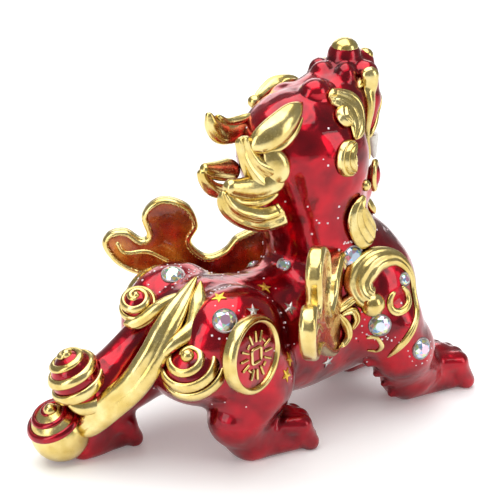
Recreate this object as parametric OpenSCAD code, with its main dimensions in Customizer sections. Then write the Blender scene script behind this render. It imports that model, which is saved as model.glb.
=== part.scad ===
// Winged guardian lion, a cast, plated and enamelled figurine.
// X runs forward, Y to the lion's left and Z up. The origin is on the shelf, under the middle.

/* [Figure] */
// Length from the tail curl to the front claws
figure_length = 90; // [70:1:130]

/* [Trunk] */
// Wall thickness of the two trunk shells
wall = 1.6; // [1.2:0.1:2.2]
// Radius of the rump
rump_r = 13.2; // [12.6:0.1:13.6]
// Radius of the waist
waist_r = 11.8; // [11.2:0.1:12.4]
// Radius of the chest
chest_r = 14.2; // [13.6:0.1:14.6]

/* [Wings] */
// Thickness of the cast wing plate
wing_t = 3; // [2.6:0.1:3.4]
// Angle of each wing away from the spine, seen from above
wing_flare = 36; // [32:1:40]

/* [Trim] */
// Diameter of the large crystals
large_crystal_d = 3.9; // [3:0.1:4.2]
// Diameter of the small crystals
small_crystal_d = 2.2; // [1.6:0.1:2.4]
// Diameter of the coin on each flank
coin_d = 14.4; // [13:0.2:15]
// Tip-to-tip size of the star foils
star_d = 2.6; // [2:0.1:3]

/* [Hidden] */

model_length = 90;             // the length at which the numbers below are written
size_factor = figure_length / model_length;
eps = 0.01;
far = 100;
limb_fn = 16;                  // facets round the cast limbs
fine_fn = 10;                  // facets round the small curls
peg_gap = 0.1;                 // radial room for solder round each peg

enamel_red = [0.62, 0.02, 0.05];
plated_gold = [0.93, 0.76, 0.36];
amber = [0.55, 0.2, 0.04];
stone = [0.85, 0.88, 0.95];
tooth_white = [0.95, 0.94, 0.9];
foil_silver = [0.7, 0.72, 0.76];

// Trunk: a lathe shape about a level axis
trunk_z = 20;
rump_end = -29;
chest_end = 31;
trunk_outline = [[rump_end, 0.6], [rump_end + 1.6, 6], [-24, 10.4], [-16, rump_r], [-6, waist_r],
    [4, waist_r + 0.4], [14, chest_r], [22, chest_r - 0.6], [chest_end - 3.6, 10],
    [chest_end - 1, 5.6], [chest_end, 0.6]];

// Pegs, each as [root on the trunk, direction, radius, length inside]
neck_root = [12, 0, 31];
neck_lean = -8;
neck_peg_r = 4;
leg_peg_r = 2.5;
haunch = [-17, 9, 23];
shoulder = [19, 9, 22];
tail_root = [-20, 0, 30];
tail_peg_r = 2;
wing_root = [5.5, 11.5, 21];
wing_peg_r = 1.2;

// Head, thrown back
skull = [7, 0, 52];
skull_r = 12.4;
muzzle = [14, 0, 59.6];
mouth_z = 49;

function mix(a, b, t) = a * (1 - t) + b * t;
function flip(p) = [p[0], -p[1], p[2]];
function flip_all(list) = [for (q = list) [q[0], -q[1], q[2], q[3]]];

// A smooth curve through the points, as Catmull-Rom pieces of n steps each
function curve_at(a, b, c, d, t) =
    0.5 * (2 * b + (c - a) * t + (2 * a - 5 * b + 4 * c - d) * t * t
        + (3 * b - a - 3 * c + d) * t * t * t);
function open_curve(p, n) = [for (i = [0:len(p) - 2], k = [0:n - 1])
    curve_at(p[max(i - 1, 0)], p[i], p[i + 1], p[min(i + 2, len(p) - 1)], k / n), p[len(p) - 1]];
function closed_curve(p, n) = [for (i = [0:len(p) - 1], k = [0:n - 1])
    curve_at(p[(i + len(p) - 1) % len(p)], p[i], p[(i + 1) % len(p)], p[(i + 2) % len(p)], k / n)];

module at_size() {
    scale(size_factor) children();
}

module ball(q, fn) {
    translate([q[0], q[1], q[2]]) sphere(r = q[3], $fn = fn);
}

// A tapering limb through balls given as [x, y, z, radius]
module limb(balls, fn = limb_fn) {
    for (i = [0:len(balls) - 2])
        hull() {
            ball(balls[i], fn);
            ball(balls[i + 1], fn);
        }
}

// Turns +Z to the direction v
module face_to(v) {
    rotate([0, 0, atan2(v[1], v[0])])
        rotate([0, atan2(norm([v[0], v[1]]), v[2]), 0])
            children();
}

module mirror_if(left) {
    if (left) mirror([0, 1, 0]) children();
    else children();
}

// ---- Trunk ----

module trunk_solid(inset, angle) {
    line = open_curve(trunk_outline, 4);
    first = rump_end + inset;
    last = chest_end - inset;
    inner = [for (q = line) [max(q[1] - inset, 0), min(max(q[0], first), last)]];
    translate([0, 0, trunk_z])
        rotate([0, 90, 0])
            rotate_extrude(angle = angle, $fn = 48)
                polygon(concat([[0, first]], inner, [[0, last]]));
}

module peg(root, direction, r, inside, outside) {
    translate(root)
        face_to(direction)
            translate([0, 0, -inside])
                cylinder(r = r, h = inside + outside, $fn = 24);
}

module trunk_half() {
    color(enamel_red)
        difference() {
            trunk_solid(0, 180);
            translate([0, -eps, 0]) trunk_solid(wall, 180);
            peg(neck_root, [sin(neck_lean), 0, cos(neck_lean)], neck_peg_r + peg_gap, 6, 8);
            peg(haunch, [0, 1, 0], leg_peg_r + peg_gap, 6, 8);
            peg(shoulder, [0, 1, 0], leg_peg_r + peg_gap, 6, 8);
            peg(tail_root, [-1, 0, 1], tail_peg_r + peg_gap, 5, 6);
            peg(wing_root, [0, 1, 0], wing_peg_r + peg_gap, 5, 6);
        }
}

module trunk_right_half() {
    mirror([0, 1, 0]) trunk_half();
}

module trunk_left_half() {
    trunk_half();
}

// ---- Legs ----

// Four toes in a fan ahead of a foot; heading is in degrees from +X
module toes(ankle, heading) {
    for (turn = [-24, -8, 8, 24])
        translate(ankle)
            rotate([0, 0, heading + turn])
                hull() {
                    translate([3.6, 0, 2.4]) sphere(r = 2.3, $fn = fine_fn);
                    translate([7.4, 0, 1.5]) sphere(r = 1.7, $fn = fine_fn);
                }
}

module above_shelf() {
    intersection() {
        translate([-far, -far, 0]) cube(2 * far);
        children();
    }
}

module leg(balls, ankle, heading, ruffle, root) {
    color(enamel_red)
        union() {
            difference() {
                above_shelf() {
                    union() {
                        limb(balls);
                        limb(ruffle, fine_fn);
                        toes(ankle, heading);
                    }
                }
                trunk_solid(-0.02, 360);
            }
            peg(root, [0, 1, 0], leg_peg_r, 3, 6.5);
        }
}

module hind_leg_right_as_left() {
    leg([[-19, 8, 24, 9], [-13, 9.2, 20, 8.4], [-12, 10.4, 12, 6.6], [-17, 9, 8, 5.4],
        [-12, 8.4, 3, 3.6], [-6, 9.6, 2.4, 3.2]],
        [-9, 9.2, 0], 14, [[-20, 9, 13, 2.4], [-21.5, 9, 9, 2], [-20, 9, 6, 1.6]], haunch);
}

module right_hind_leg() {
    mirror([0, 1, 0]) hind_leg_right_as_left();
}

module left_hind_leg() {
    leg([[-19, 8, 24, 9], [-17, 10, 18, 8], [-23, 11, 13, 6.2], [-32, 9.6, 9, 4.8],
        [-33, 8.6, 3.4, 3.6], [-27, 10.4, 2.4, 3.2]],
        [-31, 9.4, 0], 14, [[-33, 9, 12, 2.2], [-36, 8.8, 9, 1.8], [-36.4, 8.6, 6, 1.4]], haunch);
}

module front_leg(reach, spread, heading) {
    leg([[19, 8, 23, 9.4], [22, 11, 15, 6.6], [27 + reach, 10 + spread, 9, 5],
        [27 + reach, 9 + spread, 3.4, 3.8], [34 + reach, 11 + spread, 2.6, 3.4]],
        [31 + reach, 10 + spread, 0], heading,
        [[22, 12.5, 11, 2.2], [21, 12, 7, 1.8], [23 + reach, 10 + spread, 4.6, 1.5]], shoulder);
}

module right_front_leg() {
    mirror([0, 1, 0]) front_leg(3, 0, 20);
}

module left_front_leg() {
    front_leg(5, -0.5, 10);
}

// ---- Head ----

module head_casting() {
    color(enamel_red)
        difference() {
            union() {
                limb([[13, 0, 32, 11], [9.4, 0, 42, 10.2], [skull[0], 0, skull[2], skull_r],
                    [muzzle[0], 0, muzzle[2], 8], [17, 0, 66.4, 5]]);
                limb([[14, 4, 60, 5.6], [18.4, 4.4, 57.4, 4.2], [18.8, 4.4, 55.2, 3]]);
                limb([[14, -4, 60, 5.6], [18.4, -4.4, 57.4, 4.2], [18.8, -4.4, 55.2, 3]]);
                limb([[7, 3.9, 62.6, 3], [13, 3, 65, 2.6]], fine_fn);
                limb([[7, -3.9, 62.6, 3], [13, -3, 65, 2.6]], fine_fn);
                peg(neck_root, [sin(neck_lean), 0, cos(neck_lean)], neck_peg_r, 5, 6);
            }
            difference() {
                trunk_solid(-0.02, 360);
                peg(neck_root, [sin(neck_lean), 0, cos(neck_lean)], neck_peg_r, 5, 6);
            }
            // the roof of the open mouth
            hull() {
                translate([13, 0, mouth_z]) scale([1, 1.2, 0.8]) sphere(r = 4.6, $fn = limb_fn);
                translate([27, 0, mouth_z + 0.4]) scale([1, 1.2, 0.8]) sphere(r = 5, $fn = limb_fn);
            }
        }
}

module lower_jaw() {
    color(enamel_red)
        difference() {
            union() {
                limb([[15.6, 5.6, 43.2, 3.2], [20.4, 2.6, 43, 2.9], [20.4, -2.6, 43, 2.9],
                    [15.6, -5.6, 43.2, 3.2]]);
            }
            limb([[9.4, 0, 42, 10.3], [skull[0], 0, skull[2], skull_r + 0.1]]);
            hull() {
                translate([13, 0, mouth_z]) scale([1, 1.2, 0.8]) sphere(r = 4.7, $fn = limb_fn);
                translate([27, 0, mouth_z + 0.4]) scale([1, 1.2, 0.8]) sphere(r = 5.1, $fn = limb_fn);
            }
        }
}

module tongue() {
    color(enamel_red)
        hull() {
            translate([18.8, 0, 45.5]) scale([1.3, 1, 0.3]) sphere(r = 2.8, $fn = limb_fn);
            translate([22, 0, 45.9]) scale([1, 1, 0.35]) sphere(r = 2.2, $fn = limb_fn);
        }
}

// A row of pointed teeth along an arc at the front of the mouth
module tooth_row(z, radius, up, height) {
    color(tooth_white)
        for (turn = [-62, -38, -13, 13, 38, 62])
            translate([16.8 + radius * cos(turn), radius * sin(turn), z])
                mirror([0, 0, up ? 0 : 1])
                    cylinder(r1 = 1, r2 = 0.3, h = abs(turn) == 38 ? height * 2.4 : height, $fn = 16);
}

module upper_teeth() {
    tooth_row(mouth_z + 3.4, 5, false, 1.0);
}

module lower_teeth() {
    tooth_row(mouth_z - 3.4, 4.6, true, 1.2);
}

// The gold edge of the lips: a bead bent round the muzzle from cheek to cheek
module upper_lip_rim() {
    color(plated_gold)
        for (side = [-1, 1])
            limb([[20, side * 3.6, 66, 1.2], [21.6, side * 4.6, 62.6, 1.3],
                [21.8, side * 6, 58.4, 1.1], [20, side * 7.6, 54.4, 0.9],
                [17.6, side * 8.6, 51.4, 0.7]], fine_fn);
}

module nose_cap() {
    color(plated_gold)
        hull() {
            for (side = [-1, 1])
                translate([17.4, side * 1.4, 69.2]) sphere(r = 2.8, $fn = 24);
            translate([21.2, 0, 67.8]) sphere(r = 1.8, $fn = 24);
        }
}

module eye_stones() {
    color(stone)
        for (side = [-1, 1])
            translate([20.8, side * 1.7, 63]) sphere(r = 1.4, $fn = 24);
}

module right_ear() {
    color(plated_gold)
        limb([[2.2, -6, 62.4, 1], [-1.2, -7, 61.2, 2], [-4.7, -7.3, 59, 2.5], [-7.6, -6.6, 57, 2.1],
            [-9.8, -5.2, 55.5, 1]]);
}

// The left ear is pricked, so its tip turns up behind the head
module left_ear() {
    color(plated_gold)
        limb([[-2, 5, 57.2, 1.6], [-5, 5.2, 56.9, 2.1], [-8.4, 5, 57, 2], [-10.2, 4.7, 58.8, 1.6],
            [-10.3, 4.7, 60.8, 1]]);
}

module right_brow() {
    color(plated_gold)
        limb([[17.4, -5.6, 63.8, 0.7], [15.4, -7.4, 65.8, 1], [12.8, -7.6, 65, 0.8]], fine_fn);
}

module left_brow() {
    color(plated_gold)
        limb([[13.2, 6.9, 64.2, 0.9], [10.8, 7.6, 65, 1.2], [7.5, 8.2, 64.8, 1.4],
            [4.6, 8.2, 63.2, 1.3], [2.4, 7.8, 61.6, 1.3]], fine_fn);
}

module cheek_curl() {
    color(plated_gold)
        union() {
            limb([[7.6, 8.4, 63.8, 0.9], [10, 9, 63.2, 1.5], [11.8, 9.8, 60.8, 1.9],
                [11.2, 10.8, 57.4, 1.6], [9.6, 11.4, 55.4, 0.8]], fine_fn);
            limb([[9.6, 11.6, 54.4, 1], [7.6, 12, 53.2, 1.6], [7.4, 12.2, 51.2, 1.7],
                [9, 11.8, 49.6, 1.2]], fine_fn);
            limb([[13.4, 9.2, 46.6, 1.1], [13.8, 9, 46, 1.1]], fine_fn);
        }
}

module right_cheek_curl() {
    mirror([0, 1, 0]) cheek_curl();
}

module left_cheek_curl() {
    cheek_curl();
}

module right_nape_lock() {
    color(plated_gold)
        union() {
            limb([[-10.9, -4.7, 58.3, 1.5], [-10.3, -5.1, 55.6, 1.6], [-8.9, -5.6, 52.8, 2],
                [-6.7, -6.1, 50.6, 2.4], [-4, -7, 50, 2.2]], fine_fn);
            limb([[-15, -4.7, 49.9, 1.4], [-11.9, -5.1, 49.2, 1.7], [-8.8, -5.6, 49, 2],
                [-6.7, -6.1, 50.6, 2.2]], fine_fn);
        }
}

module left_nape_lock() {
    color(plated_gold)
        union() {
            limb([[-13, 4.7, 51, 1], [-11, 4.8, 50.2, 1.5], [-8, 5, 49.6, 2], [-4.4, 5.4, 49.6, 2.1]],
                fine_fn);
            limb([[-13, 4.7, 51, 1], [-12.2, 4.7, 48.8, 1.2], [-10.4, 4.6, 46.8, 1.4],
                [-7.6, 4.6, 45.8, 1.4]], fine_fn);
        }
}

module right_nape_sweep() {
    color(plated_gold)
        limb([[-15, -4.6, 46.9, 0.9], [-14, -4.8, 45.4, 1.3], [-11.6, -5.2, 43.6, 1.7],
            [-7.6, -6.2, 42.6, 2], [-3.4, -7.4, 42.8, 1.8], [-1, -8.8, 43.8, 1.2]], fine_fn);
}

module left_nape_sweep() {
    color(plated_gold)
        limb([[-4.6, 5.8, 44.6, 1], [-3, 7.2, 43, 1.5], [-0.6, 8.6, 42.4, 1.6], [2.4, 9.8, 43.6, 1]],
            fine_fn);
}

module beard() {
    color(plated_gold)
        for (side = [-1, 1])
            limb([[13.4, side * 9.4, 44.4, 1], [12.8, side * 9.8, 42, 2], [13.4, side * 9.6, 39.2, 2.3],
                [15.4, side * 8.8, 36.2, 1.8], [16.6, side * 8.6, 34.6, 1]], fine_fn);
}

// ---- Wings ----

// Cloud-scroll outline in the wing's own plane: how far out along the wing, then how high
wing_outline = [[-2, -3], [3, -3], [8.7, 0.4], [17.4, 4.6], [22.6, 4.6], [27, 6.8], [29.6, 10.6],
    [28.2, 13.2], [24.9, 13.8], [22.1, 12], [20.9, 12.8], [21.9, 16.4], [20, 19.2], [16.9, 20.2],
    [12.7, 18.4], [11, 14.4], [12.4, 11.2], [9.6, 8.4], [6.1, 9.4], [3.1, 12.4], [-2, 13]];
enamel_t = 0.5;                // depth of each enamel bed

module in_wing_plane() {
    translate(wing_root)
        rotate([0, 0, 180 - wing_flare])
            rotate([90, 0, 0])
                children();
}

// Each bed of enamel, well inside the rim: the tall lobe with the root, and the outer lobe
root_bed = [[1.7, -1], [8.7, 2.4], [16.5, 6.6], [19.6, 8.6], [19.4, 12], [20, 16], [16.9, 18],
    [13.8, 16.4], [13, 13.6], [13.8, 10.4], [9.9, 6.6], [5.7, 7.4], [1.7, 10.6]];
outer_bed = [[22, 7], [25.2, 8], [27.4, 10.6], [26.4, 12], [24, 11.8], [21.8, 9.8]];

module beds() {
    polygon(closed_curve(root_bed, 3));
    polygon(closed_curve(outer_bed, 3));
}

module wing() {
    color(plated_gold)
        union() {
            in_wing_plane()
                translate([0, 0, -wing_t / 2])
                    difference() {
                        linear_extrude(height = wing_t) polygon(closed_curve(wing_outline, 3));
                        for (z = [-eps, wing_t - enamel_t + eps])
                            translate([0, 0, z])
                                linear_extrude(height = enamel_t) beds();
                    }
            translate([wing_root[0] - 1, wing_root[1] + 0.6, wing_root[2]])
                rotate([90, 0, 0])
                    cylinder(r = wing_peg_r, h = 3.4, $fn = 24);
        }
}

module wing_enamel() {
    color(amber)
        in_wing_plane()
            for (z = [-wing_t / 2, wing_t / 2 - enamel_t + eps])
                translate([0, 0, z])
                    linear_extrude(height = enamel_t - eps) beds();
}

module right_wing() {
    mirror([0, 1, 0]) wing();
}

module left_wing() {
    wing();
}

module right_wing_enamel() {
    mirror([0, 1, 0]) wing_enamel();
}

module left_wing_enamel() {
    wing_enamel();
}

// Gold flames at the wing's root, over the shoulder
module wing_flame() {
    color(plated_gold)
        for (k = [0:2])
            limb([[8 + 2 * k, 13.6, 25 - k, 1.1], [9 + 2.2 * k, 14.4, 20 - k, 1.3],
                [9.6 + 2.2 * k, 14, 14 - 0.4 * k, 0.7]], fine_fn);
}

module right_wing_flame() {
    mirror([0, 1, 0]) wing_flame();
}

module left_wing_flame() {
    wing_flame();
}

// ---- Tail ----

module tail_rib() {
    color(plated_gold)
        union() {
            limb([[-21, 0, 32.4, 2], [-26, -3, 29.2, 2.6], [-30.6, -4, 24.6, 3], [-34.6, -3, 18.6, 3],
                [-38.6, 0, 12.4, 2.8], [-41, 2.6, 8.6, 2.2]]);
            limb([[-21, -2, 32.4, 1.2], [-23, -6.4, 30.6, 1.5], [-25.4, -8, 27, 1.6],
                [-28.8, -7.4, 24.8, 1.2]], fine_fn);
            peg(tail_root, [-1, 0, 1], tail_peg_r, 2.6, 2);
        }
}

// A snail-shell curl: a cone whose side swells once for each turn
snail_turns = 3;
snail_steps = 8;
function snail_r(r, t) =
    r * (1 - 0.72 * t) * (1 + 0.1 * abs(sin(180 * snail_turns * t)) / (1.2 - 0.6 * t));

module snail(place, direction, r) {
    n = snail_turns * snail_steps;
    color(plated_gold)
        translate(place)
            face_to(direction)
                rotate_extrude($fn = 40)
                    polygon(concat([[0, -0.4 * r], [0.7 * r, -0.4 * r]],
                        [for (i = [0:n]) [snail_r(r, i / n), r * i / n]], [[0, 1.08 * r]]));
}

module tail_upper_curl() {
    color(enamel_red) limb([[-26, 2, 25, 2.2], [-28, 3, 27.6, 2.4]], fine_fn);
    snail([-28.2, 3.4, 28.8], [-0.44, -0.37, 0.82], 3.2);
}

module tail_lower_curl() {
    color(enamel_red) limb([[-26, 4.4, 22.6, 3.4], [-31.6, 5.2, 17.6, 4.2], [-35.6, 5.8, 14.6, 4.4],
            [-38.8, 6.4, 13.4, 3.8]], 14);
    snail([-39.2, 6.6, 16.4], [-0.35, 0.05, 0.93], 4.5);
}

module tail_tip_curl() {
    snail([-40.45, 8.6, 4.8], [-0.45, 0.3, 0.8], 5);
}

module tail_side_curl() {
    color(enamel_red) limb([[-23, -7, 25, 2], [-25, -8.4, 22, 2.6]], fine_fn);
    snail([-25.6, -9, 20.4], [-0.59, -0.34, 0.73], 5);
}

// ---- Flank coins and shoulder scrolls ----

// A plain square-holed coin on a round base
module coin() {
    color(plated_gold)
        translate([-17.6, 16.2, 22])
            face_to([0.1, 1, 0.05])
                difference() {
                    cylinder(d = coin_d, h = 2, $fn = 48);
                    translate([0, 0, 1.2])
                        difference() {
                            cylinder(d = coin_d - 3, h = 1, $fn = 48);
                            translate([-2.2, -2.2, 0]) cube([4.4, 4.4, 0.6]);
                        }
                    translate([-1.3, -1.3, 1]) cube([2.6, 2.6, 2]);
                }
}

module right_coin() {
    mirror([0, 1, 0]) coin();
}

module left_coin() {
    coin();
}

// One flat spiral of a round bar, turning inwards from its tail
module spiral_bar(centre, start_r, turns, bar_r) {
    steps = 14;
    limb([for (i = [0:steps])
        let (t = i / steps, r = start_r * (1 - 0.8 * t), a = 90 - 360 * turns * t)
        [centre[0] + r * cos(a), centre[1] - 0.12 * abs(r * cos(a)), centre[2] + r * sin(a),
            bar_r * (1 - 0.5 * t)]], 8);
}

module shoulder_scroll() {
    color(plated_gold)
        union() {
            spiral_bar([19, 18, 24.4], 4, 1.1, 0.9);
            limb([[12.8, 14.8, 24.4, 2], [10.2, 14, 28, 2], [11.8, 13.2, 32, 2.1],
                [15.6, 13.2, 33.8, 1.8], [19.4, 14.4, 31.4, 1.4], [22, 16, 26.6, 0.9],
                [22, 17, 21, 0.9], [19.4, 17.2, 16.4, 0.8]], fine_fn);
        }
}

module right_shoulder_scroll() {
    mirror([0, 1, 0]) shoulder_scroll();
}

module left_shoulder_scroll() {
    shoulder_scroll();
}

// ---- Crystals and foils ----

// Each place is [point, outward direction]; each is repeated on both flanks
large_places = [[[-22.4, 13.8, 29.2], [-0.45, 0.65, 0.6]], [[14.4, 15.4, 18], [-0.3, 1, 0]],
    [[9.4, 11, 32.6], [-0.3, 0.6, 0.7]], [[25.6, 16.2, 13.6], [0.2, 1, 0]]];
small_places = [[[-8, 11.6, 27], [0, 0.8, 0.6]], [[0, 12, 24.6], [0, 0.9, 0.4]],
    [[-13, 8.4, 32.4], [0, 0.5, 0.85]], [[24, 15, 21], [0.4, 0.9, 0]],
    [[3, 12.4, 14], [0, 0.9, -0.4]], [[31, 9.6, 18], [0.8, 0.6, 0]]];
gold_star_places = [[[-22, 13.4, 29], [-0.4, 0.7, 0.5]], [[-2, 11.6, 14.6], [0, 0.9, -0.45]],
    [[-4, 10.4, 11.8], [0, 0.75, -0.7]], [[26, 14, 17], [0.5, 0.85, 0]]];
silver_star_places = [[[-12, 12.4, 29.4], [0, 0.75, 0.65]], [[5, 11.8, 12.4], [0, 0.8, -0.6]],
    [[24, 14.6, 25], [0.3, 0.9, 0.3]]];

module on_both_flanks(places) {
    for (q = places, left = [false, true])
        mirror_if(!left)
            translate(q[0])
                face_to(q[1])
                    children();
}

// A flat-topped faceted stone, cone below and table above
module crystal(d) {
    translate([0, 0, -0.25 * d]) cylinder(d1 = 0.2 * d, d2 = d, h = 0.3 * d, $fn = 20);
    translate([0, 0, 0.05 * d]) cylinder(d1 = d, d2 = 0.62 * d, h = 0.2 * d, $fn = 20);
}

module star_plate(d) {
    linear_extrude(height = 0.2)
        polygon([for (i = [0:9]) (i % 2 == 0 ? 0.5 : 0.2) * d * [cos(36 * i), sin(36 * i)]]);
}

module large_crystals() {
    color(stone) on_both_flanks(large_places) crystal(large_crystal_d);
}

module small_crystals() {
    color(stone) on_both_flanks(small_places) crystal(small_crystal_d);
}

module gold_stars() {
    color(plated_gold) on_both_flanks(gold_star_places) star_plate(star_d);
}

module silver_stars() {
    color(foil_silver) on_both_flanks(silver_star_places) star_plate(star_d);
}

at_size() trunk_right_half();
at_size() trunk_left_half();
at_size() right_hind_leg();
at_size() left_hind_leg();
at_size() right_front_leg();
at_size() left_front_leg();
at_size() head_casting();
at_size() lower_jaw();
at_size() tongue();
at_size() upper_teeth();
at_size() lower_teeth();
at_size() upper_lip_rim();
at_size() nose_cap();
at_size() eye_stones();
at_size() right_ear();
at_size() left_ear();
at_size() right_brow();
at_size() left_brow();
at_size() right_cheek_curl();
at_size() left_cheek_curl();
at_size() right_nape_lock();
at_size() left_nape_lock();
at_size() right_nape_sweep();
at_size() left_nape_sweep();
at_size() beard();
at_size() right_wing();
at_size() left_wing();
at_size() right_wing_enamel();
at_size() left_wing_enamel();
at_size() right_wing_flame();
at_size() left_wing_flame();
at_size() tail_rib();
at_size() tail_upper_curl();
at_size() tail_lower_curl();
at_size() tail_tip_curl();
at_size() tail_side_curl();
at_size() right_coin();
at_size() left_coin();
at_size() right_shoulder_scroll();
at_size() left_shoulder_scroll();
at_size() large_crystals();
at_size() small_crystals();
at_size() gold_stars();
at_size() silver_stars();
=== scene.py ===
# %% [markdown]
# # A winged guardian lion in enamel and gold
#
# The figure is a small cast ornament. Its body is white metal under a clear red enamel, its wings,
# mane, brows and tail are plated in pale gold, and round crystals, foil stars and tiny dots are set
# into the enamel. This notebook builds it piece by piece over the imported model, whose sizes it keeps.

import math

import bpy
import numpy as np
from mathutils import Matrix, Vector


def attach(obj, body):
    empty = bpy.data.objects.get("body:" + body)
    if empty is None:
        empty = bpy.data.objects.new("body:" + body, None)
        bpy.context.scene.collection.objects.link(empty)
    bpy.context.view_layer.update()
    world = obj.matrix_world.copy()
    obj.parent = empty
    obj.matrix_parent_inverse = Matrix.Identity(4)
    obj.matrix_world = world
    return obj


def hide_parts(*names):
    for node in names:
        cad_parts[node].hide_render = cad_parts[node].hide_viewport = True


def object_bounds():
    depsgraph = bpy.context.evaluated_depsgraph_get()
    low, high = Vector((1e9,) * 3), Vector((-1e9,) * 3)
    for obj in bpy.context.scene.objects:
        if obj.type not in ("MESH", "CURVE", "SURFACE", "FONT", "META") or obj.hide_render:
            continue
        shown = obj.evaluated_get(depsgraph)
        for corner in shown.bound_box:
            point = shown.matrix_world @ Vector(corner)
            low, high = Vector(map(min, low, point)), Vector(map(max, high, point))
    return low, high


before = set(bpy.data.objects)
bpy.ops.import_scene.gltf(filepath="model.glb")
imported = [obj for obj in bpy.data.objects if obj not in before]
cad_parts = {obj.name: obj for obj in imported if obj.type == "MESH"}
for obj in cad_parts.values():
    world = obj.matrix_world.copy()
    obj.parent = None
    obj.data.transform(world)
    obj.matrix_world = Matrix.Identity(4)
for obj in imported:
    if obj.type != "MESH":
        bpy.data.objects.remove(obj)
cad_low, cad_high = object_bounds()

FIGURE_LENGTH = 90.19      # the places below are written for a figure this many units long
UNIT = (cad_high.x - cad_low.x) / FIGURE_LENGTH
print("one unit is", round(UNIT * 1000, 3), "mm")

# %% [markdown]
# ## Fields: a way to sculpt blended castings
#
# A wax model for casting is soft lumps pressed together and smoothed with a finger. Rounded blends
# like that are hard to cut from boxes. Here each lump is a field, a function that gives how far a
# point is outside the lump, and two lumps are pressed together with a soft minimum. The
# surface is where the field is zero.

# %% Lumps and blends
def unit_rows(v):
    """Each row of v divided by its own length."""
    return v / np.maximum(np.linalg.norm(v, axis=1, keepdims=True), 1e-9)


def unit(v):
    """One direction divided by its own length."""
    return unit_rows(np.array([v], float))[0]


def join(a, b, soft):
    """Soft minimum: the smaller of a and b, rounded off over the width soft where they meet."""
    h = np.clip(0.5 + 0.5 * (b - a) / soft, 0, 1)
    return b + (a - b) * h - soft * h * (1 - h)


def carve(a, b, soft):
    """Takes the lump b out of the lump a, with a rounded lip of width soft."""
    return -join(-a, b, soft)


def bone(p, start, end, r_start, r_end):
    """Distance to the segment from start to end, less a radius that changes evenly along it."""
    start, end = np.array(start, float), np.array(end, float)
    along = end - start
    t = np.clip((p - start) @ along / (along @ along), 0, 1)
    return np.linalg.norm(p - start - t[:, None] * along, axis=1) - (r_start + (r_end - r_start) * t)


def egg(p, centre, radii, pitch=0.0):
    """Ellipsoid: the scaled distance k0 from the centre, turned back to length as k0 (k0 - 1) / k1."""
    q = p - np.array(centre, float)
    if pitch:
        c, s = math.cos(math.radians(pitch)), math.sin(math.radians(pitch))
        q = np.stack([c * q[:, 0] + s * q[:, 2], q[:, 1], c * q[:, 2] - s * q[:, 0]], axis=1)
    radii = np.array(radii, float)
    k0 = np.linalg.norm(q / radii, axis=1)
    k1 = np.linalg.norm(q / radii ** 2, axis=1)
    return k0 * (k0 - 1) / np.maximum(k1, 1e-9)


def both_sides(p):
    """The points folded over the middle plane, so that one lump is pressed on left and right."""
    return p * [1, 0, 1] + np.abs(p) * [0, 1, 0]


middle = np.zeros((1, 3))
two_lumps = join(egg(middle, (2, 0, 0), (3, 3, 3)), egg(middle, (-2, 0, 0), (3, 3, 3)), 1)
print("halfway between two lumps the field is", round(float(two_lumps[0]), 2), "units")

# %% [markdown]
# ## From a field to a skin
#
# The field is read on a grid of small cubes. Every cube that the surface crosses gets one point, the
# mean of the crossings on its edges, and neighbouring points are joined in four-sided faces. Then each
# point slides down the slope of the field until it lies on the surface, so gloss runs smoothly.
# Where two castings meet, a second field says whose side a point is on, and points near the seam
# settle on both surfaces at once, which leaves a sharp, tight joint.

# %% Skin a field
CORNERS = np.array([[i, j, k] for i in (0, 1) for j in (0, 1) for k in (0, 1)])
CUBE_EDGES = [(a, b) for a in range(8) for b in range(a + 1, 8)
              if abs(CORNERS[a] - CORNERS[b]).sum() == 1]
NEAR_CELLS = 4.2           # within this many cells of the surface, the field is read on every corner


def slope(field, p, h=0.05):
    """Central differences of the field along the three axes."""
    steps = np.eye(3) * h
    return np.stack([(field(p + s) - field(p - s)) / (2 * h) for s in steps], axis=1)


def grid_values(field, low, counts, cell):
    """The field on a grid. It is read on every second corner first, then again near the surface."""
    def corner(index, size):
        return low + index * size

    coarse = -(-counts // 2) + 1
    index = np.stack(np.meshgrid(*[np.arange(c) for c in coarse], indexing="ij"), -1).reshape(-1, 3)
    rough = field(corner(index, 2 * cell)).reshape(coarse)
    for axis in range(3):
        rough = np.repeat(rough, 2, axis=axis)
    values = rough[:counts[0], :counts[1], :counts[2]].copy()
    near = np.argwhere(np.abs(values) < NEAR_CELLS * cell)
    values[tuple(near.T)] = field(corner(near, cell))
    return values


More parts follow.
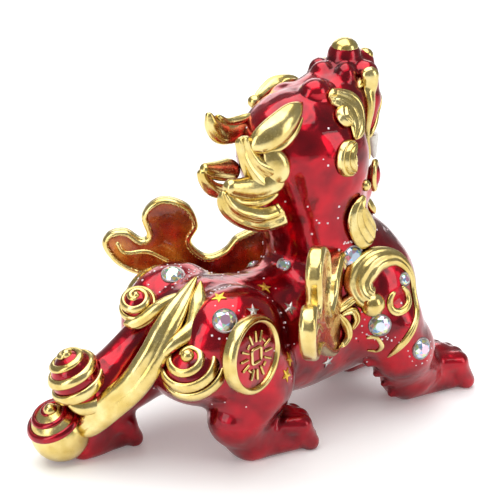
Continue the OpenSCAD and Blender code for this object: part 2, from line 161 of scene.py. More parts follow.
def skin(field, low, high, cell):
    """Surface nets: returns the points and the four-sided faces of the zero surface."""
    low = np.array(low, float)
    counts = np.ceil((np.array(high, float) - low) / cell).astype(int) + 1
    values = grid_values(field, low, counts, cell)
    inside = values < 0
    full = np.zeros(counts - 1, np.int8)
    for c in CORNERS:
        full += inside[tuple(slice(d, n - 1 + d) for d, n in zip(c, counts))]
    crossed = (full > 0) & (full < 8)
    cubes = np.argwhere(crossed)
    number = np.full(counts - 1, -1)
    number[tuple(cubes.T)] = np.arange(len(cubes))
    at_corner = np.stack([values[tuple((cubes + c).T)] for c in CORNERS], axis=1)
    total, count = np.zeros((len(cubes), 3)), np.zeros(len(cubes))
    for a, b in CUBE_EDGES:
        va, vb = at_corner[:, a], at_corner[:, b]
        cut = (va < 0) != (vb < 0)
        t = np.where(cut, va / np.where(cut, va - vb, 1), 0)
        total += cut[:, None] * (CORNERS[a] + t[:, None] * (CORNERS[b] - CORNERS[a]))
        count += cut
    points = low + cell * (cubes + total / count[:, None])
    faces = []
    for axis in range(3):
        u, v = np.eye(3, dtype=int)[(axis + 1) % 3], np.eye(3, dtype=int)[(axis + 2) % 3]
        w = np.eye(3, dtype=int)[axis]
        start = inside[tuple(slice(1 - w[i], n - 1) for i, n in enumerate(counts))]
        end = inside[tuple(slice(1, n - 1 + w[i]) for i, n in enumerate(counts))]
        edge = np.argwhere(start != end) + (1 - w)
        ring = np.stack([number[tuple((edge - d).T)] for d in (u + v, v, 0 * u, u)], axis=1)
        outward = inside[tuple(edge.T)]
        faces.append(np.where(outward[:, None], ring, ring[:, ::-1]))
    return points, np.concatenate(faces)


def limited(step, reach):
    """Each step, shortened to the length reach where it is longer."""
    far = np.linalg.norm(step, axis=1, keepdims=True)
    return step * np.minimum(1, reach / np.maximum(far, 1e-9))


def settle(points, field, rounds=3, reach=0.4):
    """Slides the points down the field's slope to its zero surface."""
    for _ in range(rounds):
        g = slope(field, points)
        step = (field(points) / np.maximum((g * g).sum(1), 1e-6))[:, None] * g
        points = points - limited(step, reach)
    return points


def settle_seam(points, field, border, rounds=4, reach=0.4):
    """Slides points to where both fields are zero: the least step that cancels both at once."""
    for _ in range(rounds):
        a, b = slope(field, points), slope(border, points)
        fa, fb = field(points), border(points)
        aa, ab, bb = (a * a).sum(1), (a * b).sum(1), (b * b).sum(1)
        det = np.maximum(aa * bb - ab * ab, 0.05)
        s, t = (bb * fa - ab * fb) / det, (aa * fb - ab * fa) / det
        points = points - limited(s[:, None] * a + t[:, None] * b, reach)
    return points


bead_points, bead_faces = skin(lambda p: egg(p, (0, 0, 0), (3, 3, 3)), (-4, -4, -4), (4, 4, 4), 1)
print("a bead of radius 3 has", len(bead_points), "points and", len(bead_faces), "faces")


# %% Turn arrays into pieces
made = {}                  # the pieces made so far, by finish
SLOTS = {"cup": "silver_foil", "dots": "teeth"}   # finishes that share another finish's slot
SEAM_CELLS = 0.9           # a point this near both fields, in cells, lies on the seam


def put_mesh(name, points, faces, slot, replaces=(), sharp=35.0, marks=None):
    """Makes a mesh from points in units, gives it its body, files it under its finish, and smooths it."""
    mesh = bpy.data.meshes.new(name)
    mesh.from_pydata((np.asarray(points) * UNIT).tolist(), [], [list(f) for f in faces])
    mesh.validate()
    mesh.shade_smooth()
    mesh.set_sharp_from_angle(angle=math.radians(sharp))
    for key, numbers in (marks or {}).items():
        layer = mesh.attributes.new(key, "FLOAT", "POINT")
        layer.data.foreach_set("value", np.asarray(numbers, np.float32))
    piece = bpy.data.objects.new(name, mesh)
    bpy.context.collection.objects.link(piece)
    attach(piece, "root")
    SLOTS.get(slot, slot)
    made.setdefault(slot, []).append(piece)
    if replaces:
        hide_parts(*replaces)
    print(name, len(points), "points")
    return piece


def cast(name, field, low, high, cell, slot, replaces=(), border=None, marks=None):
    """Skins a field, or the part of it on the inner side of border, and makes the piece."""
    whole = field if border is None else (lambda p: np.maximum(field(p), border(p)))
    points, faces = skin(whole, low, high, cell)
    if border is None:
        points = settle(points, field)
    else:
        f, b = field(points), border(points)
        seam = np.abs(f - b) < SEAM_CELLS * cell
        outer = ~seam & (f > b)
        wall = ~seam & (f <= b)
        points[outer] = settle(points[outer], field)
        points[wall] = settle(points[wall], border)
        points[seam] = settle_seam(points[seam], field, border)
    return put_mesh(name, points, faces, slot, replaces,
                    marks=marks(points) if marks else None)


# %% [markdown]
# ## The lion's body
#
# Trunk, legs and neck are cast apart and soldered, then filed and enamelled over, so no step shows.
# All of them share one field here, and each piece is the part of that field that is nearest to its
# own lumps. The haunches and shoulders are big soft eggs, the legs are bones of changing radius.

# %% Body field
def trunk_field(p):
    """Four eggs in a row from the haunches to the chest, and a pair at the shoulders."""
    q = both_sides(p)
    f = egg(p, (-15.5, 0, 20), (13.4, 12.2, 12))
    f = join(f, egg(p, (-3, 0, 18.6), (14, 11, 12)), 4)
    f = join(f, egg(p, (6, 0, 18.4), (14, 11.6, 12.8)), 4)
    f = join(f, egg(p, (17, 0, 21.4), (13.2, 12.6, 15)), 4)
    return join(f, egg(q, (20, 4, 26), (9, 8, 10)), 3)


def paw(p, heel, heading, length, high, wide):
    """A foot: an instep from the heel and four toes in a fan, each with a raised knuckle and a tip."""
    c, s = math.cos(math.radians(heading)), math.sin(math.radians(heading))

    def place(ahead, aside, up):
        return (heel[0] + ahead * c - aside * s, heel[1] + ahead * s + aside * c, up)

    f = bone(p, place(2.6, 0, high * 0.44), place(length * 0.6, 0, high * 0.5), high * 0.46, high * 0.46)
    toe = wide / 5
    for aside in (-0.26 * wide, 0.26 * wide):
        f = join(f, bone(p, place(2.4, aside * 0.6, 1.9), place(length * 0.8, aside, 1.9), 2, 1.9), 1)
    for k in (-1.5, -0.5, 0.5, 1.5):
        aside = k * wide / 4.2
        ahead = length - toe - 0.55 * k * k
        knuckle = bone(p, place(ahead * 0.66, aside * 0.8, high * 0.66),
                       place(ahead * 0.86, aside, high * 0.62), toe * 1.02, toe * 1.1)
        tip = bone(p, place(ahead * 0.9, aside, high * 0.42), place(ahead, aside * 1.04, toe * 0.75),
                   toe * 1.06, toe * 0.9)
        f = join(f, join(knuckle, tip, 0.7), 0.45)
    return f


def right_hind_field(p):
    """Haunch, thigh, shin and hock, drawn forward under the body."""
    f = egg(p, (-16.8, -8.6, 22.4), (10.6, 7.6, 10.4), 20)
    f = join(f, egg(p, (-12.4, -10, 14.8), (8, 6, 7.6)), 2.5)
    f = join(f, bone(p, (-13.4, -10.4, 12.5), (-16.4, -9.6, 8), 5.8, 5), 2)
    f = join(f, bone(p, (-16.4, -9.6, 8), (-13.4, -9.4, 4), 4.8, 4.2), 2)
    return join(f, paw(p, (-16.6, -9.4), -8, 17, 8.4, 9.6), 1.6)


def left_hind_field(p):
    """The same lumps with the shin stretched back, pushing off."""
    f = egg(p, (-16.8, 8.6, 22.4), (10.6, 7.6, 10.4), 20)
    f = join(f, egg(p, (-17, 10.4, 16), (7.6, 6, 8)), 2.5)
    f = join(f, bone(p, (-18, 10.6, 14), (-32, 9.8, 9.4), 6, 4.6), 2.5)
    f = join(f, bone(p, (-32, 9.8, 9.4), (-35, 9.8, 4.4), 4.6, 4.2), 2)
    return join(f, paw(p, (-40, 9.8), 4, 15.6, 8, 9.4), 1.6)


def front_field(p, side, reach, heading):
    """Shoulder, forearm and wrist, a spur behind the wrist and a ruffle of four lumps at the elbow."""
    f = egg(p, (18.4, side * 8, 23), (9.4, 7.8, 11.6), -12)
    f = join(f, bone(p, (20, side * 11.4, 18), (23 + reach * 0.3, side * 11.4, 12), 6.6, 6.2), 2.5)
    f = join(f, bone(p, (23 + reach * 0.3, side * 11.4, 12), (27 + reach, side * 10.4, 6.4), 6.2, 5), 2)
    f = join(f, bone(p, (21.6, side * 11.6, 10.6), (24.4, side * 11.2, 4.6), 3, 2.2), 1.4)
    for k in range(4):
        x, z = 16 + 2.2 * k, 10.2 - 2.7 * k
        f = join(f, bone(p, (x, side * 10.2, z), (x + 5, side * 12, z + 2), 0.7, 2.4), 1)
    return join(f, paw(p, (22.8 + reach, side * 8.4), side * heading, 19.4, 9.6, 10.2), 1.8)


def right_front_field(p):
    """The front leg on the right, one side of the stride."""
    return front_field(p, -1, 1.6, 7)


def left_front_field(p):
    """The front leg on the left, a little further ahead."""
    return front_field(p, 1, 2.4, 8)


def neck_field(p):
    """A thick bone up to the head, with the breast in front of it."""
    f = bone(p, (13, 0, 31), (8.4, 0, 44), 11, 9.8)
    return join(f, egg(p, (17, 0, 29.6), (8.6, 9, 8.4)), 3)


trunk_heart = np.array([[0, 0, 19.0]])
print("the trunk reaches", round(-float(trunk_field(trunk_heart)[0]), 1), "units round its heart")


# %% [markdown]
# The head is thrown back in a roar. The skull is an egg, the cheeks bulge beside the open mouth, and
# the muzzle climbs to a high nose. The mouth is carved out and the jaw hangs below it.

# %% Head field
def skull_field(p):
    """Skull, cheeks, muzzle, nose column, lips and three bumps, less the mouth."""
    q = both_sides(p)
    f = egg(p, (6.6, 0, 52.4), (12.2, 11.2, 11.6))
    f = join(f, egg(q, (9.8, 6.4, 50.4), (6.6, 5, 8)), 3)
    f = join(f, egg(p, (13.6, 0, 59.4), (8, 7.6, 7.2), 30), 3)
    f = join(f, bone(p, (17, 0, 60), (17.4, -0.2, 68.4), 4.4, 3.2), 1.6)
    f = join(f, bone(p, (18, 0, 64.6), (21.4, 0, 65.4), 3.8, 3.1), 1.2)
    f = join(f, egg(q, (14.6, 3.6, 65.4), (2.2, 1.9, 2.6)), 0.9)
    f = join(f, bone(p, (20.8, 0, 63), (22.4, 0, 67.2), 2.8, 2), 1)
    f = join(f, bone(q, (19.6, 3.6, 65.4), (20.4, 3.8, 60.4), 2.5, 2.2), 1)
    f = join(f, bone(q, (20.4, 3.8, 60.4), (18.6, 4.8, 54.8), 2.2, 1.7), 1)
    f = join(f, egg(p, (7.2, -3.6, 63.6), (3, 2.7, 2.5)), 1)
    f = join(f, egg(p, (6.6, 4, 61.8), (2.8, 2.6, 2.4)), 1)
    f = join(f, egg(p, (12.8, 0.6, 65.8), (2.2, 2.4, 2.2)), 0.6)
    hollow = egg(p, (20.4, 0, 49.2), (8.8, 6.4, 3.9), 4)
    return carve(f, hollow, 0.9)


def jaw_field(p):
    """A bone along each side and round the chin, less the mouth."""
    q = both_sides(p)
    f = bone(q, (11.4, 6.6, 45.4), (17.6, 4.4, 43.4), 3.2, 2.4)
    f = join(f, bone(q, (17.6, 4.4, 43.4), (20.8, 0, 43.2), 2.4, 2.4), 1.4)
    hollow = egg(p, (20.4, 0, 49.2), (8.8, 6.2, 4.4), 4)
    return carve(f, hollow, 0.8)


mouth_middle = np.array([[20.4, 0, 49.2]])
print("the mouth's middle is", round(float(skull_field(mouth_middle)[0]), 1), "units clear of the skull")


# %% One field for all the enamelled castings
CASTINGS = {
    "trunk": trunk_field,
    "right_hind_leg": right_hind_field,
    "left_hind_leg": left_hind_field,
    "right_front_leg": right_front_field,
    "left_front_leg": left_front_field,
    "neck": neck_field,
    "head": skull_field,
    "lower_jaw": jaw_field,
}
BLEND = {"trunk": 2.2, "right_hind_leg": 2.2, "left_hind_leg": 2.2, "right_front_leg": 2,
         "left_front_leg": 2, "neck": 4, "head": 4, "lower_jaw": 1.6}


def shelf(p):
    """Above the shelf: the soles are cut flat at z = 0."""
    return -p[:, 2]


def body_field(p):
    """All the castings pressed together, and cut off under the soles."""
    f = None
    for name, lump in CASTINGS.items():
        g = lump(p)
        f = g if f is None else join(f, g, BLEND[name])
    return np.maximum(f, shelf(p))


def owner_border(names):
    """Negative where one of the named castings is nearer than every other."""
    def border(p):
        own = np.min([CASTINGS[n](p) for n in names], axis=0)
        rest = np.min([g(p) for n, g in CASTINGS.items() if n not in names], axis=0)
        return own - rest
    return border


FOLD_REACH = 1.6


def fold_shade_marks(points):
    """How deep in a fold each point lies, the mask for painted shade: how far the field falls short of the
    reach, FOLD_REACH out.
    """
    n = unit_rows(slope(body_field, points))
    depth = 1 - body_field(points + FOLD_REACH * n) / FOLD_REACH
    return {"fold": np.clip(depth, 0, 1)}


print(len(CASTINGS), "castings share one field")


# %% Enamelled castings
CELL = 0.48
GRID_SHIFT = 0.013         # keeps the grid's planes off the middle plane and the flat soles
HALF_MARGIN = 2            # a half shell's grid runs this far past the middle plane
ENAMEL_SKIN = [
    ("trunk_right", ["trunk"], (-31, -15, 4), (33, 0, 39), ["trunk_right_half"], -1),
    ("trunk_left", ["trunk"], (-31, 0, 4), (33, 15, 39), ["trunk_left_half"], 1),
    ("hind_leg_right", ["right_hind_leg"], (-30, -22, -1), (6, 0, 37), ["right_hind_leg"], 0),
    ("hind_leg_left", ["left_hind_leg"], (-46, 0, -1), (-5, 22, 37), ["left_hind_leg"], 0),
    ("front_leg_right", ["right_front_leg"], (7, -24, -1), (50, 0, 38), ["right_front_leg"], 0),
    ("front_leg_left", ["left_front_leg"], (7, 0, -1), (50, 24, 38), ["left_front_leg"], 0),
    ("head_and_neck", ["head", "neck"], (-8, -14, 20), (32, 14, 73), ["head_casting"], 0),
    ("jaw", ["lower_jaw"], (8, -12, 38), (31, 12, 53), ["lower_jaw"], 0),
]


def half_border(names, side):
    """The casting's own border, cut again on the middle plane for the left or right shell."""
    own = owner_border(names)
    if side == 0:
        return own
    return lambda p: np.maximum(own(p), -side * p[:, 1])


for name, names, low, high, nodes, side in ENAMEL_SKIN:
    low = np.array(low) - [0, HALF_MARGIN * (side > 0), 0] - GRID_SHIFT
    high = np.array(high) + [0, HALF_MARGIN * (side < 0), 0]
    cast(name, body_field, low, high, CELL, "enamel", nodes, half_border(names, side), fold_shade_marks)

# %% [markdown]
# ## Gold locks, brows and ribs
#
# The curls of the mane are bars that swell and taper along a curve, with grooves chased along them.
# A plasterer runs such a moulding with a shaped blade. The same idea works here: a ribbed
# section is carried along a smooth curve and scaled as it goes, with its top turned away from the skin.

# %% Curves and sections
def curve(rows, count):
    """Catmull-Rom curve through the rows, which may carry widths as well as places."""
    rows = np.array(rows, float)
    rows = np.vstack([2 * rows[0] - rows[1], rows, 2 * rows[-1] - rows[-2]])
    u = np.linspace(0, len(rows) - 3, count)
    k = np.minimum(u.astype(int), len(rows) - 4)
    t = (u - k)[:, None]
    a, b, c, d = (rows[k + i] for i in range(4))
    return b + 0.5 * t * (c - a + t * (2 * a - 5 * b + 4 * c - d + t * (3 * (b - c) + d - a)))


def around(count, first=0.0):
    """Angles of count even steps round a circle, starting first steps on."""
    return (np.arange(count) + first) * 2 * math.pi / count


def ribbed(ridges=1, groove=0.0, under=0.5, count=48, rim=1.0):
    """Section of a bar: an ellipse whose upper side rises and falls in rounded ridges."""
    a = around(count)
    x, y = np.cos(a), np.sin(a)
    dip = groove * (0.5 + 0.5 * np.cos(math.pi * ridges * (x + 1))) ** 1.5
    top = np.maximum(y, 0) ** rim * (1 - dip)
    return np.stack([x, np.where(y > 0, top, under * y)], axis=1)


SMOOTH = ribbed(1, 0, under=0.7, rim=0.8)
TWO = ribbed(2, 0.34)
THREE = ribbed(3, 0.3)
FAN = ribbed(6, 0.2)
print("a section has", len(SMOOTH), "points")


# %% Closed lofts
def closed_loft(rings):
    """Faces for rings of points, joined ring to ring and closed with a fan at both ends."""
    n, m, _ = rings.shape
    i, j = np.meshgrid(np.arange(n - 1), np.arange(m), indexing="ij")
    k = (j + 1) % m
    quads = np.stack([i * m + j, i * m + k, (i + 1) * m + k, (i + 1) * m + j], -1).reshape(-1, 4)
    points = np.vstack([rings.reshape(-1, 3), rings[0].mean(0), rings[-1].mean(0)])
    ring = np.arange(m)
    first = np.stack([np.full(m, n * m), (ring + 1) % m, ring], 1)
    last = np.stack([np.full(m, n * m + 1), (n - 1) * m + ring, (n - 1) * m + (ring + 1) % m], 1)
    return points, quads.tolist() + first.tolist() + last.tolist()


POLE = 0.49 * math.pi      # the last ring of a dome stops just short of its pole


def outward(points, faces):
    """Turns the faces round if the closed form they make has a negative volume."""
    tris = np.array([f[:3] for f in faces] + [(f[0], f[2], f[3]) for f in faces if len(f) == 4])
    a, b, c = points[tris[:, 0]], points[tris[:, 1]], points[tris[:, 2]]
    volume = (a * np.cross(b, c)).sum()
    return faces if volume > 0 else [list(f)[::-1] for f in faces]


def solid(rings):
    """A closed loft with all its faces pointing out."""
    points, faces = closed_loft(rings)
    return points, outward(points, faces)


def ball(centre, radii, count=24):
    """An egg-shaped bead: radius times sine of latitude round the ring, closed at both poles."""
    lat = np.linspace(-POLE, POLE, count // 2)
    lon = around(count)
    ring = np.stack([np.cos(lat)[:, None] * np.cos(lon), np.cos(lat)[:, None] * np.sin(lon),
                     np.sin(lat)[:, None] + 0 * lon], -1)
    return solid(np.array(centre, float) + ring * np.array(radii, float))


print("a bead has", len(ball((0, 0, 0), (1, 1, 1))[0]), "points")


# %% Swept bars
def on_skin(places, rounds=8):
    """Rough places dropped on to the body: they slide down its slope until they lie on the skin."""
    return settle(np.array(places, float), body_field, rounds, 1.5)


def running_mean(rows, width=9):
    """Each row as the mean of the rows round it, with the end rows repeated."""
    half = width // 2
    padded = np.vstack([rows[:1]] * half + [rows] + [rows[-1:]] * half)
    return np.stack([np.convolve(padded[:, i], np.ones(width) / width, "valid") for i in range(3)], 1)


def end_round(u, start, end):
    """Width factor along a bar: a quarter ellipse over the given share of its length at each end."""
    a = np.clip(u / max(start, 1e-6), 0, 1)
    b = np.clip((1 - u) / max(end, 1e-6), 0, 1)
    return np.sqrt(np.maximum(1 - (1 - a) ** 2, 2e-4) * np.maximum(1 - (1 - b) ** 2, 2e-4))


def bar(rows, section, up=None, lay=None, ends=(0.1, 0.1), count=72):
    """Sweeps a section along rows of (x, y, z, half width, height) and returns points and faces.

    Its top faces up, or away from the skin where up is not given. Where lay is given, the path is
    dropped on to the skin and raised by lay."""
    path = curve(rows, count)
    centre = path[:, :3]
    if lay is not None:
        centre = on_skin(centre)
    if up is None:
        tops = running_mean(unit_rows(slope(body_field, centre)))
    else:
        tops = np.zeros((count, 3)) + np.array(up, float)
    if lay is not None:
        centre = centre + lay * unit_rows(tops)
    along = unit_rows(np.gradient(centre, axis=0))
    side = unit_rows(np.cross(along, tops))
    tops = np.cross(side, along)
    scale = end_round(np.linspace(0, 1, count), *ends)
    width, height = path[:, 3] * scale, path[:, 4] * np.sqrt(scale)
    return solid(centre[:, None] + section[None, :, :1] * (width[:, None] * side)[:, None]
                 + section[None, :, 1:] * (height[:, None] * tops)[:, None])


def merged(parts):
    """Several closed forms as one set of points and faces."""
    points, faces, start = [], [], 0
    for p, f in parts:
        points.append(p)
        faces += [[start + int(i) for i in face] for face in f]
        start += len(p)
    return np.vstack(points), faces


def mirrored(part):
    """The same form on the other side of the middle plane, with its faces turned to point out."""
    points, faces = part
    return points * [1, -1, 1], [list(f)[::-1] for f in faces]


def paired(parts):
    """The forms, and their mirror images on the other side."""
    return parts + [mirrored(part) for part in parts]


def piece(name, parts, slot, replaces=(), sharp=50.0):
    """Several closed forms as one piece."""
    points, faces = merged(parts)
    return put_mesh(name, points, faces, slot, replaces, sharp)


SIDES = ((-1, "right"), (1, "left"))
HANDS = (("right", lambda part: part), ("left", mirrored))
print("bars and beads can now be merged, mirrored and paired")


# %% [markdown]
# The ears lie back like leaves. The nape locks flick up and back to ball tips, and a wide lock
# sweeps under them. The right and left sides are close to mirror images, but each was modelled one
# by one, so the places differ a little.

# %% Ears and mane
ear_leaf = [(2, -5.7, 62.6, 0.6, 0.8), (-1.2, -6.6, 61.4, 1.9, 1.6), (-4.8, -6.9, 59.2, 2.6, 2),
            (-7.8, -6.3, 57.3, 2.3, 1.8), (-10.1, -4.9, 55.6, 1.1, 1.2)]
ear_lip = [(1.4, -6.6, 60.2, 0.4, 0.5), (-1.6, -7.6, 57.6, 0.55, 0.7), (-5, -7.4, 55.8, 0.7, 0.8),
           (-8.8, -5.6, 55.2, 0.6, 0.7)]
ear_up = (-0.5, -0.78, 0.3)
piece("ear_right", [bar(ear_leaf, SMOOTH, up=ear_up, ends=(0.25, 0.2)),
                    bar(ear_lip, SMOOTH, up=ear_up, ends=(0.2, 0.2))], "gold", ["right_ear"])
ear_back = [(-0.6, 4.6, 57.6, 1.4, 1.4), (-4.4, 5, 56.8, 2.2, 1.9), (-8, 4.8, 56.8, 2.2, 1.9),
            (-10.2, 4.5, 58.4, 1.6, 1.4), (-11, 4.4, 60.2, 0.9, 0.9), (-10.9, 4.4, 61, 0.6, 0.7)]
ear_back_rim = [(-1, 4.2, 59, 0.8, 0.9), (-4.4, 4.4, 58.4, 1, 1.1), (-7.4, 4.4, 58.6, 0.8, 1),
                (-9.6, 4.4, 60.2, 0.7, 0.8)]
piece("ear_left", [bar(ear_back, SMOOTH, up=(-0.5, -0.8, 0.3), ends=(0.2, 0.12)),
                   bar(ear_back_rim, SMOOTH, up=(-0.4, -0.6, 0.7), ends=(0.2, 0.2))],
      "gold", ["left_ear"])

lock_up = [(-10.9, -4.5, 58.3, 1.5, 1.6), (-10.3, -4.9, 55.6, 1.7, 1.5), (-8.9, -5.4, 52.8, 2.4, 1.8),
           (-6.5, -5.9, 50.6, 3.8, 2.3), (-4.2, -6.5, 49.8, 2.8, 1.6)]
lock_back = [(-15, -4.5, 49.9, 1.5, 1.5), (-11.9, -4.9, 49.1, 1.9, 1.6), (-8.8, -5.4, 48.9, 2.4, 1.8),
             (-5.8, -6.2, 49.8, 2.6, 1.9), (-3.8, -6.9, 51.4, 2, 1.3)]
lock_leaf = [(-7.4, -5.8, 56, 0.7, 0.8), (-6, -6.5, 54, 2.4, 1.7), (-5.4, -6.8, 51.6, 2.8, 1.8),
             (-6.4, -6.4, 49.2, 1.4, 1.1)]
lock_top = (-0.55, -0.8, 0.1)
piece("nape_lock_right", [bar(lock_up, TWO, up=lock_top, ends=(0.1, 0.2)),
                          bar(lock_leaf, SMOOTH, up=lock_top, ends=(0.2, 0.2)),
                          bar(lock_back, SMOOTH, up=lock_top, ends=(0.1, 0.2))], "gold", ["right_nape_lock"])
lock_low = [(-13, 4.5, 51, 1, 1), (-11, 4.6, 50.2, 1.6, 1.4), (-8, 4.8, 49.6, 2.1, 1.7),
            (-4.4, 4.6, 49.6, 2.4, 1.6)]
lock_hook = [(-12.9, 4.5, 50.9, 0.9, 0.9), (-12.2, 4.5, 48.8, 1.2, 1), (-10.4, 4.2, 46.8, 1.5, 1.1),
             (-7.6, 3.8, 45.8, 1.4, 1.1)]
piece("nape_lock_left", [bar(lock_low, SMOOTH, up=(-0.5, -0.6, 0.6), ends=(0.12, 0.2)),
                         bar(lock_hook, SMOOTH, up=(-0.8, -0.5, 0), ends=(0.12, 0.2))],
      "gold", ["left_nape_lock"])

sweep_top = (-0.6, -0.78, -0.1)
sweep_outer = [(-15.3, -4.5, 49.2, 1.1, 1.1), (-14.2, -4.6, 46.4, 1.8, 1.5), (-11.6, -5, 44.2, 2.2, 1.8),
               (-8, -6, 42.9, 2.4, 1.9), (-5, -6.8, 43, 2.4, 1.6), (-3.4, -7.4, 43.6, 2.3, 1)]
sweep_inner = [(-13.6, -4.8, 48, 0.6, 0.8), (-11.2, -5.2, 46.4, 0.8, 0.9), (-7.6, -6.1, 46.2, 0.8, 0.8),
               (-4.6, -7, 47.4, 0.5, 0.6)]
sweep_forms = [bar(sweep_outer, TWO, up=sweep_top, ends=(0.12, 0.06)),
               bar(sweep_inner, SMOOTH, up=sweep_top, ends=(0.2, 0.2))]
piece("nape_sweep_right", sweep_forms, "gold", ["right_nape_sweep"])
sweep_far = [(-6, -3.6, 46, 1, 1), (-4.4, -5, 43.6, 1.8, 1.4), (-1.4, -7, 42.8, 2.2, 1.5),
             (2, -8.6, 44, 1.6, 1)]
piece("nape_sweep_left", [mirrored(bar(sweep_far, TWO, lay=0.3, ends=(0.15, 0.15)))],
      "gold", ["left_nape_sweep"])

# %% [markdown]
# The face is framed by chased gold: brows over the eyes, a fan, a tuft and a ruff on each cheek, a
# ridge and a fine line down the lip, a grooved beard under the jaw and two drops on the nose.

# %% Brows, cheeks, lips and beard
brow_left = [(13.2, 6.5, 62.2, 0.9, 0.9), (10.8, 7.5, 63.4, 1.5, 1.3), (7.5, 8, 63.2, 1.7, 1.5),
             (4.6, 8, 61.8, 1.3, 1.2), (2.8, 7.6, 60.8, 0.9, 0.9)]
piece("brow_left", [bar(brow_left, TWO, up=(-0.3, 0.2, 0.93), ends=(0.25, 0.15)),
                    ball((2.2, 7.6, 60.6), (1.35, 1.35, 1.3))], "gold", ["left_brow"])
cheek_fan = [(7.6, -7.6, 63.8, 1, 0.8), (10, -8, 63.2, 2.2, 1.3), (11.8, -8.8, 60.8, 2.8, 1.6),
             (11.2, -9.8, 57.4, 2, 1.3), (9.6, -10.6, 55.4, 0.7, 0.7)]
cheek_tuft = [(9.8, -8.6, 61.6, 1.2, 1.1), (8.6, -9.4, 59.6, 1.5, 1.3), (9.6, -9.8, 57.8, 1.2, 1.2)]
cheek_ruff = [(9.6, -10.9, 55, 1.2, 0.9), (7.6, -11.2, 53.8, 2, 1.4), (7.4, -11.4, 51.6, 2.2, 1.5),
              (9, -11.4, 50, 1.4, 1.2)]
cheek_forms = [bar(cheek_fan, FAN, lay=0.3, ends=(0.18, 0.15)),
               bar(cheek_tuft, TWO, lay=0.5, ends=(0.3, 0.3), count=40),
               bar(cheek_ruff, ribbed(4, 0.3), lay=0.3, ends=(0.2, 0.25))]
brow_right = [(19.4, -4.4, 65, 0.6, 0.6), (17.4, -5.6, 64.6, 0.9, 0.8), (15.4, -6.4, 63.8, 0.5, 0.5)]
piece("brow_right", [bar(brow_right, TWO, lay=0.1, ends=(0.25, 0.25))], "gold", ["right_brow"])
for word, flip in HANDS:
    piece("cheek_curl_" + word, [flip(f) for f in cheek_forms], "gold", [word + "_cheek_curl"])

lip_ridge = [(18.6, -5.4, 66.8, 1.9, 1.3), (18.4, -6, 63.8, 1.6, 1.3), (17.8, -6.6, 59, 1.2, 1),
             (17, -7, 54.4, 0.7, 0.6), (16.4, -7.4, 50, 0.5, 0.5)]
lip_line = [(21.6, -2.6, 66, 0.35, 0.4), (22.2, -3.6, 62.4, 0.4, 0.4), (20.8, -4.8, 58, 0.45, 0.4),
            (18, -6.2, 53.8, 0.4, 0.4)]
lip_forms = [bar(lip_ridge, SMOOTH, lay=0.2, ends=(0.12, 0.1)),
             bar(lip_line, SMOOTH, lay=0.1, ends=(0.1, 0.1))]
lip_ring = [(20.8 + 1.2 * math.cos(a), -5.6 + 0.9 * math.cos(a), 46 + 2.6 * math.sin(a), 0.6, 0.6)
            for a in np.linspace(0, 2 * math.pi, 13)]
lip_forms += [bar(lip_ring, SMOOTH, up=(-0.55, -0.8, 0.2), ends=(0.01, 0.01)),
              ball(on_skin([(13.8, -9.6, 46.2)])[0], (1.1, 1.1, 1.1))]
piece("lip_rims", paired(lip_forms), "gold", ["upper_lip_rim"])

beard_strand = [(12, -9, 45.2, 0.8, 0.9), (11.2, -9.2, 42.8, 2.1, 1.5), (11.8, -9, 39.6, 3.2, 1.8),
                (13.4, -8.4, 36.4, 3.3, 1.7), (14.8, -8, 34, 2, 1.2)]
beard_front = [(19.6, -2, 41.4, 1.6, 1.3), (19.6, -2.4, 38.6, 2, 1.5), (19.6, -2.4, 36, 1.6, 1.3),
               (19.6, -2, 33.4, 0.8, 0.8)]
beard_forms = [bar(beard_strand, ribbed(4, 0.24), lay=0.4, ends=(0.15, 0.2)),
               bar(beard_front, THREE, lay=0.4, ends=(0.15, 0.15))]
piece("beard_strands", paired(beard_forms), "gold", ["beard"])

piece("nose_gold", [ball((17.3, -0.4, 69.9), (2.6, 2.6, 2.1)), ball((22.8, -0.2, 68), (1.5, 1.7, 1.4))],
      "gold", ["nose_cap"])

# %% [markdown]
# The teeth are ivory enamel over small cast pegs. Each is a cone with a rounded tip. The tongue is
# a low red tile with a groove down its middle, between two red drops, and the eyes are round stones.

# %% Teeth, tongue and eyes
def fang(root, tip, radius):
    """A tooth: round section, radius falling to a rounded tip along the line from root to tip."""
    root, tip = np.array(root, float), np.array(tip, float)
    rows = [(*(root + (tip - root) * t), radius * (1 - 0.72 * t), radius * (1 - 0.72 * t))
            for t in (0, 0.4, 0.8, 1)]
    return bar(rows, ribbed(1, 0, under=1, count=20), up=(0.9, 0.1, 0), ends=(0.02, 0.2), count=20)


def front_teeth(back, root_z, tip_z, radius):
    """Three small teeth in a row, the outer ones set back along a parabola."""
    return [fang((back - 0.16 * y * y, y, root_z), (back + 0.2 - 0.16 * y * y, y, tip_z), radius)
            for y in (-1.6, 0, 1.6)]


upper = front_teeth(20.6, 53.6, 51.4, 0.85)
upper += [fang((20, s * 5.4, 54.4), (20.6, s * 5.6, 49.4), 1.4) for s in (-1, 1)]
upper += [fang((16.4, s * 5.6, 52.8), (16.6, s * 5.8, 50.6), 1) for s in (-1, 1)]
piece("teeth_upper", upper, "teeth", ["upper_teeth"])
lower = front_teeth(20.4, 44.6, 46.8, 0.8)
lower += [fang((18, s * 4.2, 44.8), (18.4, s * 4.2, 48), 1.1) for s in (-1, 1)]
piece("teeth_lower", lower, "teeth", ["lower_teeth"])
tongue_rows = [(10, 0, 46, 2.6, 1.4), (14, 0, 46.6, 3, 1.6), (18, 0, 46.6, 2.8, 1.6),
               (21.4, 0, 45.6, 1.8, 1.2)]
tongue_forms = [bar(tongue_rows, TWO, up=(0, 0, 1), ends=(0.1, 0.25))]
tongue_forms += [ball((20.7, y, 46), (1.5, 1.1, 2.5)) for y in (-5.5, 5.5)]
piece("tongue_tile", tongue_forms, "enamel", ["tongue"])
eye_spots = on_skin([(21.8, s * 1.9, 62.8) for s in (-1, 1)])
